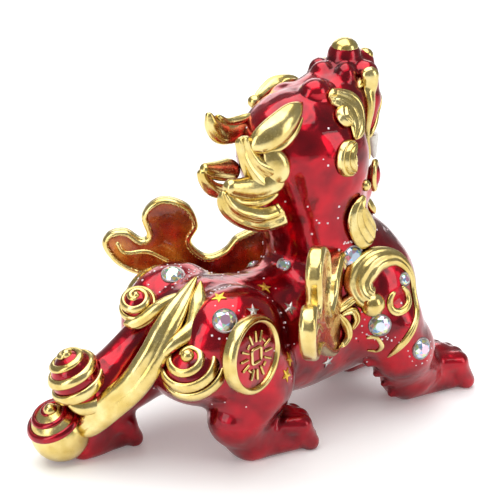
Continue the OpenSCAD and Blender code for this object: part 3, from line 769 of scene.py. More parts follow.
piece("eye_beads", [ball(spot, (1.5, 1.5, 1.5)) for spot in eye_spots], "stone", ["eye_stones"])

# %% [markdown]
# ## Tail
#
# The tail hangs down behind as one broad gold rib over a red stem, and four snail curls ride on it.
# Each curl is a red dome with a gold band wound round it from the foot to a ball on top, but the
# one at the tip is gold with a red line. The band is the same swept bar, now carried along a spiral
# that climbs the dome.

# %% Tail ribs and stem
rib_rows = [(-20.2, -3.2, 34.2, 0.9, 0.8), (-24.4, -4.4, 30.8, 1.8, 1.3), (-28.6, -5.2, 26.8, 2.4, 1.7),
            (-31.4, -4.9, 22.4, 2.6, 1.9), (-34.2, -2.8, 17.2, 2.7, 1.9), (-37, 1.2, 12.4, 2.8, 1.8),
            (-38.6, 4.4, 8.6, 2.3, 1.7), (-39.6, 6.6, 6.4, 1.4, 1.4)]
edge_rows = [(-20.4, -4.6, 33.8, 0.7, 0.7), (-22.6, -6.6, 30.8, 1.5, 1.2), (-25, -8, 27, 1.6, 1.4),
             (-28.6, -7.6, 25, 1.2, 1.2), (-31.2, -6.2, 22.4, 0.7, 0.8)]
upper_foot = [(-24, -3, 31.8, 0.9, 0.9), (-27.4, -1, 29, 1.4, 1.3), (-29.6, 1.6, 26.6, 1.4, 1.3),
              (-31.4, 3.6, 26, 0.9, 0.9)]
lower_foot = [(-33.6, -1, 17, 1, 1), (-36.6, 1.6, 13.8, 1.5, 1.4), (-40, 3.6, 12.6, 1.6, 1.5),
              (-43, 4.6, 13.4, 0.9, 1)]
tail_top = (-0.6, -0.72, 0.34)
broad = ribbed(2, 0.16, under=0.9, rim=0.55)
rib_forms = [bar(rows, section, up=tail_top, ends=ends) for rows, section, ends in (
    (rib_rows, broad, (0.2, 0.1)), (edge_rows, SMOOTH, (0.25, 0.2)),
    (upper_foot, SMOOTH, (0.25, 0.25)), (lower_foot, SMOOTH, (0.25, 0.25)))]
piece("tail_rib_gold", rib_forms, "gold", ["tail_rib"])
stem_rows = [(-23, 3.6, 27, 3, 3), (-27.4, 4.4, 22, 3.6, 3.6), (-31.6, 5, 17.6, 4.4, 4.4),
             (-35.4, 5.6, 14.6, 4.8, 4.8), (-38.6, 6, 13, 4.2, 4.2)]
piece("tail_stem", [bar(stem_rows, ribbed(1, 0, under=1), up=(-0.5, -0.3, 0.8), ends=(0.15, 0.15))],
      "enamel")


# %% Snail curls
def snail(centre, axis, radius, height, turns, width, foot, start=1.2):
    """A dome and a band. Latitude climbs evenly with the turns of the spiral, from foot to pole."""
    axis = unit(axis)
    e1 = unit(np.cross((0.1, 0.2, 1.0), axis))
    e2 = np.cross(axis, e1)
    centre = np.array(centre, float)

    def dome(lat, lon, swell=1.0):
        flat = radius * swell * np.cos(lat)
        return (centre + (flat * np.cos(lon))[..., None] * e1 + (flat * np.sin(lon))[..., None] * e2
                + (height * swell * np.sin(lat))[..., None] * axis)

    lat = np.linspace(-POLE, POLE, 28)[:, None] + np.zeros(48)
    lon = around(48) + np.zeros((28, 1))
    t = np.linspace(0, 1, int(40 * turns))
    climb = foot + (0.44 * math.pi - foot) * t ** 0.9
    path = dome(climb, start + 2 * math.pi * turns * t, 0.97)
    size = width * (1 - 0.62 * t)
    rows = np.column_stack([path, size, size * 0.62])
    band = bar(rows, ribbed(1, 0, under=0.8, count=24, rim=0.8), up=unit_rows(path - centre),
               ends=(0.06, 0.02), count=len(rows))
    knob = ball(centre + axis * height * 0.92, [radius * 0.22] * 3)
    return solid(dome(lat, lon, 0.95)), band, knob


CURLS = [
    ("upper", (-28.2, 3.4, 28.8), (-0.44, -0.37, 0.82), 3.1, 3.3, 2.6, 1.1, -0.5),
    ("lower", (-39.4, 6.6, 16.4), (-0.35, 0.05, 0.93), 4.8, 6.2, 3.6, 1.25, -0.5),
    ("tip", (-41.2, 10.2, 5.9), (-0.42, -0.1, 0.9), 5.8, 5.9, 2.6, 0.8, 0.25),
    ("side", (-25.6, -9, 20.4), (-0.59, -0.34, 0.73), 5.7, 4.4, 3.3, 1.45, -0.5),
]
for word, *shape in CURLS:
    core, band, knob = snail(*shape)
    stands_for = ["tail_" + word + "_curl"]
    if word == "tip":                      # this one is a gold bead with a thin red line wound into it
        piece("curl_dome_tip", [core, knob], "gold", stands_for)
        piece("curl_line_tip", [band], "enamel")
    else:
        piece("curl_dome_" + word, [core], "enamel")
        piece("curl_band_" + word, [band, knob], "gold", stands_for)

# %% [markdown]
# ## Wings
#
# Each wing is a flat gold plate cut to the outline of a rolling cloud, with a bed sunk in each face
# and filled with amber enamel, and one chased line runs down its outer lobe. A plate is easy as a
# field: the distance to the outline in the plane, combined with the distance from the middle of the
# plate, gives a slab with rounded edges.

# %% Plate outline and its distance
WING_ROOT, WING_FLARE, WING_HALF = (5.5, 11.5, 21), math.radians(36), 1.5
WING_OUTLINE = [(-4, -1), (3, -1), (8.7, 0.8), (17.4, 4.6), (22.6, 4.6), (27, 6.8), (29.6, 10.6),
                (28.2, 13.2), (24.9, 13.8), (22.1, 12), (20.9, 12.8), (21.9, 16.4), (20, 19.2),
                (16.9, 20.2), (12.7, 18.4), (11, 14.4), (12.4, 11.2), (9.6, 8.4), (6.1, 9.4),
                (3.1, 12.4), (-4, 13.6)]
WING_VEIN = [(17, 7.6), (20.9, 9.4), (25.2, 9.2), (26.6, 11)]
smooth_outline = curve(WING_OUTLINE + [WING_OUTLINE[0]], 110)[:-1]
smooth_vein = curve(WING_VEIN, 24)


def line_distance(p, starts, runs):
    """Distance in the plane to the nearest side, and the way to each point from each side's start."""
    w = p[:, None] - starts
    t = np.clip((w * runs).sum(-1) / np.maximum((runs * runs).sum(-1), 1e-9), 0, 1)
    return np.sqrt(((w - t[..., None] * runs) ** 2).sum(-1).min(1)), w


def outline_distance(p, corners):
    """Signed distance to a closed outline: least distance to a side, negative where a ray is odd."""
    a, b = corners, np.roll(corners, -1, axis=0)
    e = b - a
    d, w = line_distance(p, a, e)
    above_a, above_b = p[:, None, 1] >= a[:, 1], p[:, None, 1] >= b[:, 1]
    cross = e[:, 0] * w[..., 1] - e[:, 1] * w[..., 0]
    hits = ((above_a & ~above_b) & (cross < 0)) | ((~above_a & above_b) & (cross > 0))
    return np.where(hits.sum(1) % 2 == 1, -d, d)


print("the outline has", len(smooth_outline), "sides and spans", np.ptp(smooth_outline, axis=0).round(1))

# %% Wing plates and their enamel
OUTLINE_TOP = 20.2         # the highest point of the outline
RIGHT_TOP = 20.8           # how high that point stands over the root on the right wing
RIGHT_STRETCH = 1.2        # and how much taller than the left wing it is


def wing_frame(p, side):
    """Place along the wing, height, and distance from the middle; the right wing is a fifth taller."""
    q = p - np.array(WING_ROOT) * [1, side, 1]
    along = np.array([-math.cos(WING_FLARE), side * math.sin(WING_FLARE), 0])
    across = np.array([math.sin(WING_FLARE), side * math.cos(WING_FLARE), 0])
    height = q[:, 2] if side > 0 else OUTLINE_TOP - (RIGHT_TOP - q[:, 2]) / RIGHT_STRETCH
    return np.stack([q @ along, height], 1), q @ across


def wing_place(p, side):
    """Place in the wing's plane, distance to its outline, and distance from its curled middle plane."""
    flat, out = wing_frame(p, side)
    curl = 0.9 * np.clip((flat[:, 0] - 16) / 14, 0, 1) ** 2
    return flat, outline_distance(flat, smooth_outline), np.abs(out - curl)


def wing_plate(side):
    """The gold plate: a slab with a rounded edge, less its beds, plus a vein that stands in the beds."""
    def field(p):
        flat, edge, off = wing_place(p, side)
        depth = off - WING_HALF
        r = 0.9
        slab = np.sqrt(np.maximum(edge + r, 0) ** 2 + np.maximum(depth + r, 0) ** 2) - r
        slab += np.minimum(np.maximum(edge, depth) + r, 0)
        bed = np.maximum(edge + 1.15, -(depth + 0.75))
        cut = carve(slab, bed, 0.35)
        to_vein, _ = line_distance(flat, smooth_vein[:-1], np.diff(smooth_vein, axis=0))
        vein = np.maximum(np.hypot(to_vein, (depth + 0.9) * 0.8) - 0.5, edge + 0.3)
        return join(cut, vein, 0.3)
    return field


def wing_fill(side):
    """The enamel: a slightly domed pool that fills the bed to just below the rim."""
    def field(p):
        flat, edge, off = wing_place(p, side)
        swell = 0.14 * np.clip((-edge - 1.1) / 2, 0, 1)
        return np.maximum(edge + 0.9, off - (WING_HALF - 0.62 + swell))
    return field


for side, word in SIDES:
    low = (-24, 6 if side > 0 else -35, 14)
    high = (13, 35 if side > 0 else -6, 44)
    step = 0.3
    cast("wing_plate_" + word, wing_plate(side), low, high, step, "gold", [word + "_wing"])
    cast("wing_fill_" + word, wing_fill(side), low, high, step, "amber", [word + "_wing_enamel"])

# %% [markdown]
# Three small flame feathers cover the root of each wing, and a scroll in relief runs round the
# shoulder. They lie on the skin, so their paths are first dropped on to it along its slope.

# %% Flame feathers and shoulder scrolls
flames = [
    [(4.4, -12, 24.2, 0.7, 0.7), (6.4, -12.6, 24.4, 1, 1), (8.4, -13, 25.4, 1.1, 1),
     (10.6, -13.4, 26.8, 0.8, 0.8)],
    [(6, -12.4, 23.6, 0.7, 0.7), (7.6, -12.8, 21, 0.9, 0.9), (8.2, -13, 18.6, 0.8, 0.8),
     (7.2, -12.8, 17, 0.6, 0.6), (5.6, -12.4, 17.2, 0.4, 0.4)],
    [(6.6, -12.6, 23, 0.6, 0.7), (8.8, -13.2, 23.4, 0.9, 0.9), (9.6, -13.4, 21.6, 0.8, 0.8),
     (8.8, -13.2, 19.6, 0.4, 0.4)],
]
swirl_bar = [(12.4, -14, 25.2, 2.4, 1.8), (10.8, -13.4, 26.6, 2.6, 1.8), (10.6, -12.6, 29, 3, 1.8),
             (12.6, -12.2, 31.2, 3.1, 1.8), (15.8, -12.4, 32.2, 2.4, 1.5), (19.6, -12.6, 31, 1.6, 1.1),
             (22.2, -13.8, 27, 0.8, 0.6), (21.6, -15.8, 21.4, 0.6, 0.5), (18.4, -16.6, 16.8, 0.8, 0.5),
             (16, -15, 12.4, 0.3, 0.3)]
c_turn = np.linspace(0, 1, 9)
c_angle = 1.9 + 5.5 * c_turn
c_radius = 2.2 + 0.9 * c_turn ** 2
c_scroll = np.column_stack([17.8 + 0.9 * c_radius * np.cos(c_angle), -15.6 + 0 * c_turn,
                            24.2 + 0.95 * c_radius * np.sin(c_angle), 0.5 + 0.25 * np.sin(math.pi * c_turn),
                            0.5 + 0 * c_turn])
hook = [(11.9, -13.4, 17.4, 0.45, 0.4), (13.6, -14.4, 17.6, 0.4, 0.4), (14.8, -14.8, 15.8, 0.5, 0.4),
        (14.2, -14, 14, 0.3, 0.3), (12.8, -13, 13.8, 0.2, 0.2)]
for word, flip in HANDS:
    piece("wing_flames_" + word, [flip(bar(rows, TWO, lay=0.5, ends=(0.2, 0.1))) for rows in flames],
          "gold", [word + "_wing_flame"])
    piece("shoulder_scroll_" + word,
          [flip(bar(swirl_bar, ribbed(3, 0.22), lay=0.1, ends=(0.03, 0.08), count=140)),
           flip(ball(on_skin([(12.8, -14, 24.2)])[0], (2.5, 2.2, 2.4))),
           flip(bar(c_scroll, SMOOTH, lay=0.05, ends=(0.1, 0.1))),
           flip(bar(hook, SMOOTH, lay=0.05, ends=(0.15, 0.1)))],
          "gold", [word + "_shoulder_scroll"])

# %% [markdown]
# ## Coins
#
# A round coin hangs on each haunch. It is turned on a lathe: a rolled gold rim round a field of red
# enamel. The relief is a plain square opening with four small fans of rays, the pattern of no
# particular coin.

# %% Seats, turned rings and wires
def seat(centre, out):
    """Axes of a flat ornament: its face direction, and level and upright directions in its plane."""
    out = unit(out)
    level = unit(np.cross((0, 0, 1.0), out))
    return np.array(centre, float), level, np.cross(out, level), out


def spokes(axes, a):
    """Directions in the ornament's plane: level times the cosine plus upright times the sine of a."""
    return np.cos(a)[:, None] * axes[1] + np.sin(a)[:, None] * axes[2]


def lathe(axes, profile, count=96):
    """Turns (radius, height) rows round the face direction of the seat."""
    profile = np.array(profile, float)
    return solid(axes[0] + profile[:, None, :1] * spokes(axes, around(count))
                 + profile[:, None, 1:] * axes[3])


def wire(axes, dots, half=0.28, tall=0.35):
    """A raised line on a flat ornament, through (level, upright) places."""
    centre, level, upright, out = axes
    rows = [(*(centre + a * level + b * upright + 0.55 * out), half, tall) for a, b in dots]
    return bar(rows, ribbed(1, 0, count=16), up=out, ends=(0.12, 0.12), count=8 * len(rows))


# %% Coins
R = 7                      # radius of a coin
RIM = [(R - 1.3, -1.5), (R - 0.1, -1.4), (R + 0.1, -0.4), (R, 0.5), (R - 0.35, 0.95), (R - 0.8, 1),
       (R - 1.15, 0.75), (R - 1.3, 0.3)]
FIELD = [(0.02, -1.3), (R - 1, -1.3), (R - 1.05, 0.3), (R - 2, 0.42), (R / 2, 0.5), (0.02, 0.52)]
OPENING = [(1.2, -1.2), (1.3, 0), (1.2, 1.2), (0, 1.3), (-1.2, 1.2), (-1.3, 0), (-1.2, -1.2),
           (0, -1.3), (1.2, -1.2)]


def coin_marks(axes):
    """The square opening, and on each side of it three rays with a short arc between the fans."""
    marks = [wire(axes, OPENING)]
    for quarter in range(4):
        turn = math.radians(90 * quarter)
        for lean in (-24, 0, 24):
            a = turn + math.radians(lean)
            ray = [(r * math.cos(a), r * math.sin(a)) for r in (2.4, 3.4, 4.5)]
            marks.append(wire(axes, ray, 0.26, 0.32))
        a = turn + math.radians(45)
        arc = [(3.1 * math.cos(a + d), 3.1 * math.sin(a + d)) for d in (-0.16, 0, 0.16)]
        marks.append(wire(axes, arc, 0.22, 0.28))
    return marks


for side, word in SIDES:
    spot = on_skin([(-18.2 if side < 0 else -14.6, side * 15.6, 22.9)])[0]
    axes = seat(spot + np.array([0, side * 0.3, 0]), (0.24, side, 0.05))
    piece("coin_rim_" + word, [lathe(axes, RIM)], "gold", [word + "_coin"])
    piece("coin_field_" + word, [lathe(axes, FIELD)], "enamel")
    piece("coin_marks_" + word, coin_marks(axes), "gold")

# %% [markdown]
# ## Crystals, foil stars and dots
#
# Round crystals sit in drilled cups, so only their crown of facets shows above a thin metal ring.
# Foil stars are glued flat on the enamel, and fine dots of white enamel are touched on with a
# needle. Every one is dropped on to the skin and turned to face away from it.

# %% Stones and stars
def skin_seats(spots):
    """For each rough place: the nearest skin point and its axes."""
    spots = on_skin(spots, 10)
    return [seat(p, n) for p, n in zip(spots, slope(body_field, spots))]


def brilliant(axes, radius, lift=0.1):
    """A cut stone: an eight-sided table, a zigzag of crown facets down to a sixteen-sided girdle."""
    rings = [axes[0] + share * radius * spokes(axes, around(count, turn)) + (lift + tall * radius) * axes[3]
             for share, tall, count, turn in ((0.5, 0.46, 8, 0), (0.78, 0.3, 8, 0.5), (1, 0.06, 16, 0),
                                              (1, -0.3, 16, 0))]
    points = np.vstack(rings)
    k, j = np.arange(8), np.arange(16)
    n, girdle, after = (k + 1) % 8, 16 + 2 * k, 16 + (2 * k + 2) % 16
    faces = [list(range(8))]
    for facet in ((k, 8 + k, n), (n, 8 + k, 8 + n), (8 + k, girdle, girdle + 1), (8 + k, girdle + 1, after),
                  (8 + k, after, 8 + n), (16 + j, 32 + j, 32 + (j + 1) % 16, 16 + (j + 1) % 16)):
        faces += np.stack(facet, 1).tolist()
    faces.append(list(range(47, 31, -1)))
    return points, outward(points, faces)


def cup(axes, r):
    """A thin ring round a stone of radius r: a small half-round section turned about the stone."""
    return lathe(axes, [(r - 0.1, -0.5), (r + 0.3, -0.5), (r + 0.34, 0.02), (r + 0.22, 0.2),
                        (r + 0.04, 0.2), (r - 0.1, 0.05)], 32)


def star(axes, radius, turn):
    """A five-pointed foil: ten corners on two circles, a little higher in the middle."""
    centre, out = axes[0], axes[3]
    k = np.arange(10)
    n = (k + 1) % 10
    r = np.where(k % 2 == 0, radius, 0.42 * radius)
    flat = centre + r[:, None] * spokes(axes, (k / 10 + turn) * 2 * math.pi)
    points = np.vstack([flat + 0.12 * out, flat - 0.4 * out, [centre + 0.26 * out], [centre - 0.4 * out]])
    faces = []
    for facet in ((k, n, 0 * k + 20), (10 + n, 10 + k, 0 * k + 21), (k, 10 + k, 10 + n, n)):
        faces += np.stack(facet, 1).tolist()
    return points, outward(points, faces)


def dot(axes, radius):
    """A touch of enamel: a low dome of two rings."""
    ring = spokes(axes, around(8))
    points, faces = solid(np.stack([axes[0] + radius * s * ring + radius * t * axes[3]
                                    for s, t in ((1, -0.5), (1, 0.15), (0.6, 0.55))]))
    points[-1] += 0.15 * radius * axes[3]
    return points, faces


BIG_STONES = [(-22.1, -13.4, 29.4), (13.8, -15.1, 20.1), (10.5, -11.4, 33.3), (22.4, -17.4, 14),
              (-19, 5.4, 32.7), (-14, 14, 28), (13.8, 15.1, 20.1), (10.5, 11.4, 33.3)]
SMALL_STONES = [(20.2, -14.9, 27.7), (8, 10.4, 35), (21.2, 14.9, 27.7), (0, 6, 30), (2, -2, 30)]
GOLD_STARS = [(-20.7, -9.8, 33), (-7.6, -14.7, 19), (-9.7, -16.2, 16.8), (-20, 12, 31), (-4, 12, 18),
              (-6, -6, 31), (-5, 12, 24)]
SILVER_STARS = [(-16.3, -14.4, 30.1), (11.6, -13.3, 23.7), (4.4, -11.1, 13.9), (-3.4, -9.3, 26.1),
                (-1, 12, 21), (11.6, 13.3, 23.7)]
BIG_RADIUS, SMALL_RADIUS = 1.9, 1.1

# %% Set them
big_seats, small_seats = skin_seats(BIG_STONES), skin_seats(SMALL_STONES)
piece("crystals_large", [brilliant(s, BIG_RADIUS) for s in big_seats], "stone", ["large_crystals"], 5)
piece("crystals_small", [brilliant(s, SMALL_RADIUS) for s in small_seats], "stone", ["small_crystals"], 5)
piece("crystal_cups", [cup(s, BIG_RADIUS) for s in big_seats] + [cup(s, SMALL_RADIUS) for s in small_seats],
      "cup")
for word, spots, radius, turn in (("gold", GOLD_STARS, 1.4, 0.07), ("silver", SILVER_STARS, 1.35, 0.05)):
    stars = [star(s, radius, turn * k) for k, s in enumerate(skin_seats(spots))]
    piece("stars_" + word, stars, word + "_foil", [word + "_stars"], 5)

# %% [markdown]
# The dots follow short arcs: round the big stones, down the shoulder and along the back. The few
# loose ones are scattered by a seeded draw, so that they fall in the same places every time.

# %% Dots
rng = np.random.default_rng(7)
dot_rows = []
for axes in big_seats:
    a = rng.uniform(0, 2 * math.pi) + np.arange(9) * 0.42
    r = 3.4 + 0.25 * rng.standard_normal(9)
    dot_rows.append(axes[0] + r[:, None] * spokes(axes, a))
for ends in ([(-24, -4, 33), (-17, -8, 33)], [(14.6, -15, 17.6), (19.4, -16.4, 17)],
             [(8.4, -11, 36), (15, -11, 37)], [(-22, 3, 33), (-10, 6, 31)], [(14, 15, 17), (20, 16, 17)]):
    t = np.linspace(0, 1, 11)[:, None]
    dot_rows.append(np.array(ends[0]) * (1 - t) + np.array(ends[1]) * t + 0.3 * rng.standard_normal((11, 3)))
loose = rng.uniform(-1, 1, (150, 3)) * [26, 15, 12] + [-1, 0, 24]
loose_head = rng.uniform(-1, 1, (46, 3)) * [9, 11, 12] + [4, 0, 50]
dot_rows += [loose, loose_head]
seats = skin_seats(np.vstack(dot_rows))
sizes = rng.uniform(0.13, 0.24, len(seats))
piece("enamel_dots", [dot(s, r) for s, r in zip(seats, sizes)], "dots", sharp=80)

# %% [markdown]
# ## Finishes
#
# Clear red enamel over bright metal is two surfaces. Light passes the clear coat, reflects from the
# rippled metal and comes back red, and the smooth top adds white gloss. So the base layer is a red
# metal with soft ripples, and the coat is smooth. The folds get painted shade: their depth, worked
# out with the skin, is read back as an attribute and darkens the red there.

# %% Node helpers
def new_finish(name):
    """An empty node material with a surface shader joined to its output."""
    material = bpy.data.materials.new(name)
    material.use_nodes = True
    tree = material.node_tree
    tree.nodes.clear()
    out = tree.nodes.new("ShaderNodeOutputMaterial")
    shader = tree.nodes.new("ShaderNodeBsdfPrincipled")
    tree.links.new(shader.outputs[0], out.inputs[0])
    return material, tree, shader


def node(tree, kind, links=(), **values):
    """A node with its settings and socket values, joined from the outputs given by socket name."""
    n = tree.nodes.new(kind)
    for key, value in values.items():
        if hasattr(n, key):
            setattr(n, key, value)
        else:
            n.inputs[key.replace("_", " ").title()].default_value = value
    for socket, source in links:
        tree.links.new(source, n.inputs[socket])
    return n


def cloud(tree, size, detail=3.0, rough=0.5):
    """Noise on object coordinates with lumps of about the given size in units."""
    place = node(tree, "ShaderNodeTexCoord")
    n = node(tree, "ShaderNodeTexNoise", [("Vector", place.outputs["Object"])])
    n.inputs["Scale"].default_value = 1 / (size * UNIT)
    n.inputs["Detail"].default_value = detail
    n.inputs["Roughness"].default_value = rough
    return n.outputs["Fac"]


def ramp(tree, source, stops):
    """A colour ramp read by source, with (place, colour) stops."""
    n = node(tree, "ShaderNodeValToRGB", [("Fac", source)])
    n.color_ramp.elements[0].position, n.color_ramp.elements[1].position = stops[0][0], stops[-1][0]
    n.color_ramp.elements[0].color = (*stops[0][1], 1)
    n.color_ramp.elements[1].color = (*stops[-1][1], 1)
    for place, colour in stops[1:-1]:
        n.color_ramp.elements.new(place).color = (*colour, 1)
    return n.outputs["Color"]


def spread(tree, source, low, high, start=0.3, end=0.7):
    """A number that runs from low to high as source runs from start to end."""
    n = node(tree, "ShaderNodeMapRange", [("Value", source)])
    for key, value in (("From Min", start), ("From Max", end), ("To Min", low), ("To Max", high)):
        n.inputs[key].default_value = value
    return n.outputs["Result"]


def mix(tree, share, a, b, kind="MIX"):
    """Two colours mixed by share. Each of a and b is a colour or an output."""
    n = tree.nodes.new("ShaderNodeMix")
    n.data_type, n.blend_type = "RGBA", kind
    for socket, value in ((0, share), (6, a), (7, b)):
        if isinstance(value, bpy.types.NodeSocket):
            tree.links.new(value, n.inputs[socket])
        else:
            n.inputs[socket].default_value = value if socket == 0 else (*value, 1)
    return n.outputs[2]


def ripple(tree, shader, source, strength, depth, socket="Normal"):
    """Bumps the shader's normal with source, over a depth given in units."""
    n = node(tree, "ShaderNodeBump", [("Height", source)])
    n.inputs["Strength"].default_value = strength
    n.inputs["Distance"].default_value = depth * UNIT
    tree.links.new(n.outputs["Normal"], shader.inputs[socket])


def set_shader(shader, **values):
    """Sets plain values on the shader's own sockets."""
    for key, value in values.items():
        shader.inputs[key.replace("_", " ")].default_value = value


def feed(tree, shader, **sources):
    """Joins outputs to the shader's sockets of those names."""
    for key, source in sources.items():
        tree.links.new(source, shader.inputs[key.replace("_", " ")])


print("a lump of one unit has noise scale", round(1 / UNIT))


# %% Red enamel
SATIN_BELOW, GLOSS_ABOVE = 4, 14       # heights between which the satin of the feet turns to gloss


def red_enamel():
    """Ripples of dark and bright red, with painted shade that darkens it where the fold mark is high, and
    duller near the feet.
    """
    material, tree, shader = new_finish("red enamel over metal")
    patches = cloud(tree, 5.5, 2)
    grain = cloud(tree, 0.5, 2)
    red = ramp(tree, patches, [(0.28, (0.14, 0.000, 0.006)), (0.5, (0.34, 0.000, 0.010)),
                               (0.72, (0.56, 0.001, 0.014))])
    fold = node(tree, "ShaderNodeAttribute", attribute_name="fold").outputs["Fac"]
    # painted shade: deep in the folds the red is mixed towards near black (0.05, 0, 0.003)
    fold_shade = spread(tree, fold, 0, 0.75, 0.12, 0.7)
    place = node(tree, "ShaderNodeTexCoord").outputs["Object"]
    height = node(tree, "ShaderNodeSeparateXYZ", [("Vector", place)]).outputs["Z"]
    satin = spread(tree, height, 0.46, 0.0, SATIN_BELOW * UNIT, GLOSS_ABOVE * UNIT)
    worn = spread(tree, grain, 0.2, 0.24)
    rough = node(tree, "ShaderNodeMath", [(0, satin), (1, worn)], operation="MAXIMUM").outputs[0]
    feed(tree, shader, Base_Color=mix(tree, fold_shade, red, (0.05, 0.0, 0.003)), Roughness=rough)
    ripple(tree, shader, patches, 0.5, 1.6)
    set_shader(shader, Metallic=0.88, Coat_Weight=0.6, Coat_Roughness=0.03, Coat_IOR=1.5)
    return material


# %% [markdown]
# The gold is a thin bright plate over a cast that was never quite flat, so its reflections wander
# a little, and its deep corners get painted shade, a dark red-brown where the sky is mostly shut out.
# The amber in the wings lets more of the metal through, and runs from honey to brown.

# %% Gold and amber
def pale_gold():
    """Plate whose tone wanders in soft waves, with painted red-brown shade where little of the sky is open.
    """
    material, tree, shader = new_finish("pale gold plate")
    waves = cloud(tree, 3.2, 2)
    fine = cloud(tree, 0.35, 3)
    tone = ramp(tree, waves, [(0.3, (0.64, 0.47, 0.14)), (0.5, (0.74, 0.58, 0.22)),
                              (0.7, (0.82, 0.68, 0.31))])
    open_sky = node(tree, "ShaderNodeAmbientOcclusion", Distance=2.2 * UNIT, samples=8).outputs["AO"]
    # painted shade: where little sky is open, the gold is mixed towards dark red-brown (0.2, 0.02, 0.008)
    hollow = spread(tree, open_sky, 0.85, 0.0, 0.28, 0.62)
    feed(tree, shader, Base_Color=mix(tree, hollow, tone, (0.2, 0.02, 0.008)),
         Roughness=spread(tree, fine, 0.17, 0.28))
    ripple(tree, shader, waves, 0.2, 0.7)
    set_shader(shader, Metallic=1.0)
    return material


def amber_enamel():
    """Pools of brown, amber and honey under a clear coat."""
    material, tree, shader = new_finish("amber enamel")
    pools = cloud(tree, 6, 3)
    tone = ramp(tree, pools, [(0.3, (0.16, 0.012, 0.004)), (0.5, (0.42, 0.07, 0.008)),
                              (0.7, (0.66, 0.24, 0.03))])
    feed(tree, shader, Base_Color=tone, Roughness=spread(tree, cloud(tree, 0.6), 0.22, 0.36))
    ripple(tree, shader, pools, 0.3, 1.0)
    set_shader(shader, Metallic=0.75, Coat_Weight=0.8, Coat_Roughness=0.05)
    return material


# %% [markdown]
# The crystals have a thin film that splits white light, so each facet shows another pastel. The
# facet's own direction picks the colour here, which stays put when the camera moves.

# %% Crystal, foils, dots and small metal
def crystal():
    """Each facet's direction, dotted with a fixed vector, picks a pastel by its fraction."""
    material, tree, shader = new_finish("coated crystal")
    normal = node(tree, "ShaderNodeNewGeometry").outputs["True Normal"]
    lean = node(tree, "ShaderNodeVectorMath", [(0, normal)], operation="DOT_PRODUCT")
    lean.inputs[1].default_value = (2.3, 1.7, 3.1)
    turn = node(tree, "ShaderNodeMath", [(0, lean.outputs["Value"])], operation="FRACT").outputs[0]
    tone = ramp(tree, turn, [(0, (0.6, 0.75, 0.95)), (0.2, (0.25, 0.5, 0.85)), (0.4, (0.9, 0.9, 0.85)),
                             (0.55, (0.85, 0.3, 0.6)), (0.75, (0.3, 0.75, 0.5)), (1, (0.95, 0.8, 0.25))])
    feed(tree, shader, Base_Color=tone, Roughness=spread(tree, cloud(tree, 0.6), 0.04, 0.1))
    set_shader(shader, Metallic=0.7, IOR=1.56, Coat_Weight=1.0, Coat_Roughness=0.02)
    return material


def mottled(name, dark, light, size, rough, **values):
    """A finish whose colour wanders between dark and light in lumps of the given size."""
    material, tree, shader = new_finish(name)
    lumps = cloud(tree, size, 3)
    tone = ramp(tree, lumps, [(0.3, dark), (0.7, light)])
    feed(tree, shader, Base_Color=tone, Roughness=spread(tree, lumps, *rough))
    ripple(tree, shader, lumps, 0.2, 0.1)
    set_shader(shader, **values)
    return material


FINISHES = {
    "enamel": red_enamel(),
    "gold": pale_gold(),
    "amber": amber_enamel(),
    "stone": crystal(),
    "teeth": mottled("ivory enamel", (0.72, 0.68, 0.6), (0.9, 0.88, 0.84), 1.2, (0.2, 0.3),
                     Coat_Weight=0.6, Coat_Roughness=0.05),
    "gold_foil": mottled("gold foil", (0.7, 0.42, 0.03), (0.95, 0.68, 0.12), 0.8, (0.25, 0.4),
                         Metallic=0.85),
    "silver_foil": mottled("silver foil", (0.3, 0.29, 0.28), (0.85, 0.84, 0.8), 0.9, (0.2, 0.4),
                           Metallic=0.9),
    "cup": mottled("metal setting", (0.22, 0.18, 0.18), (0.5, 0.45, 0.44), 0.7, (0.25, 0.4),
                   Metallic=0.8),
    "dots": mottled("white enamel dots", (0.85, 0.7, 0.74), (0.98, 0.93, 0.95), 0.5, (0.3, 0.45)),
}
for finish, members in made.items():
    for member in members:
        member.data.materials.clear()
        member.data.materials.append(FINISHES[finish])
    print(finish, len(members), "pieces")

# %% [markdown]
# ## Studio
#
# The figure stands on a pale sheet under a large soft light, with two narrower panels at the sides
# and one behind.
# Polished metal shows whatever stands round it. The floor carries a painted glow that is weak near
# the figure and stronger far off, and the grey of the room above it gives the gold its deep edges.

# %% Floor
GLOW_START, GLOW_END = 0.12, 0.9       # distances, in metres, over which the floor's glow rises


def sheet_of(name, corners, colour, rough, near_glow, far_glow):
    """A four-sided sheet. Its glow rises evenly with the distance from the figure, then stays level."""
    mesh = bpy.data.meshes.new(name)
    mesh.from_pydata(corners, [], [(0, 1, 2, 3)])
    sheet = bpy.data.objects.new(name, mesh)
    bpy.context.collection.objects.link(sheet)
    material, tree, shader = new_finish(name + " paper")
    lumps = cloud(tree, 60, 2)
    pale = tuple(min(1, c * 1.03) for c in colour)
    place = node(tree, "ShaderNodeTexCoord").outputs["Object"]
    away = node(tree, "ShaderNodeVectorMath", [(0, place)], operation="LENGTH").outputs["Value"]
    # painted light: the sheet glows, weakly near the figure and more strongly far from it
    feed(tree, shader, Base_Color=ramp(tree, lumps, [(0.3, colour), (0.7, pale)]),
         Roughness=spread(tree, lumps, rough, rough + 0.08),
         Emission_Strength=spread(tree, away, near_glow, far_glow, GLOW_START, GLOW_END))
    set_shader(shader, Emission_Color=(1, 1, 1, 1))
    mesh.materials.append(material)


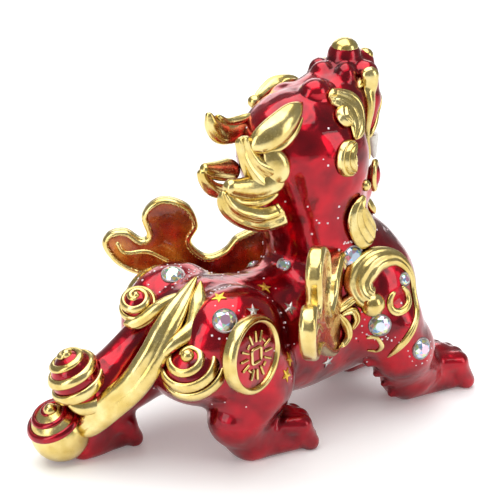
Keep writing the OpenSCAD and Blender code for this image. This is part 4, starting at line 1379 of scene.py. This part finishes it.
REACH = 3                  # half the floor's width, in metres
floor_corners = [(-REACH, -REACH, 0), (REACH, -REACH, 0), (REACH, REACH, 0), (-REACH, REACH, 0)]
sheet_of("floor", floor_corners, (0.93, 0.93, 0.93), 0.6, 0.16, 0.5)
print("the floor is", 2 * REACH, "m wide")


# %% Lights
def aim(thing, place, target):
    """Puts a light or camera at a place and turns its -Z axis to the target."""
    thing.location = place
    thing.rotation_mode = "QUATERNION"
    thing.rotation_quaternion = (Vector(target) - Vector(place)).to_track_quat("-Z", "Y")


def panel(name, place, width, height, power):
    """A rectangular soft light that looks at the middle of the figure."""
    light = bpy.data.lights.new(name, "AREA")
    light.shape, light.size, light.size_y = "RECTANGLE", width, height
    light.energy = power
    thing = bpy.data.objects.new(name, light)
    bpy.context.collection.objects.link(thing)
    aim(thing, place, HEART)
    print(name, power, "W")


HEART = (0, 0, 0.035)
panel("top panel", (-0.05, 0.02, 0.55), 0.7, 0.6, 3.7)
panel("left panel", (-0.5, -0.02, 0.22), 0.22, 0.4, 0.75)
panel("right panel", (0.25, -0.5, 0.22), 0.2, 0.36, 0.6)
panel("back panel", (0.35, 0.5, 0.3), 0.5, 0.3, 0.8)

world = bpy.data.worlds.new("studio")
bpy.context.scene.world = world
world.use_nodes = True
background = world.node_tree.nodes["Background"]
background.inputs["Color"].default_value = (1, 1, 1, 1)
background.inputs["Strength"].default_value = 0.28

# %% [markdown]
# The camera looks from behind the right haunch, a little from above, through a long lens.

# %% Camera
AZIMUTH, ELEVATION = math.radians(-40), math.radians(18)
DISTANCE = 0.26            # from the target to the camera, in metres
LENS = 102.96              # focal length, in millimetres
target = np.array([-7, -2, 36]) * UNIT
back = np.array([math.sin(AZIMUTH) * math.cos(ELEVATION), -math.cos(AZIMUTH) * math.cos(ELEVATION),
                 math.sin(ELEVATION)])
lens = bpy.data.cameras.new("camera")
lens.lens = LENS
camera = bpy.data.objects.new("camera", lens)
bpy.context.collection.objects.link(camera)
aim(camera, tuple(target + DISTANCE * back), tuple(target))
bpy.context.scene.camera = camera
bpy.context.scene.view_settings.view_transform = "Standard"
print("camera", round(DISTANCE * 1000), "mm away, lens", LENS, "mm")
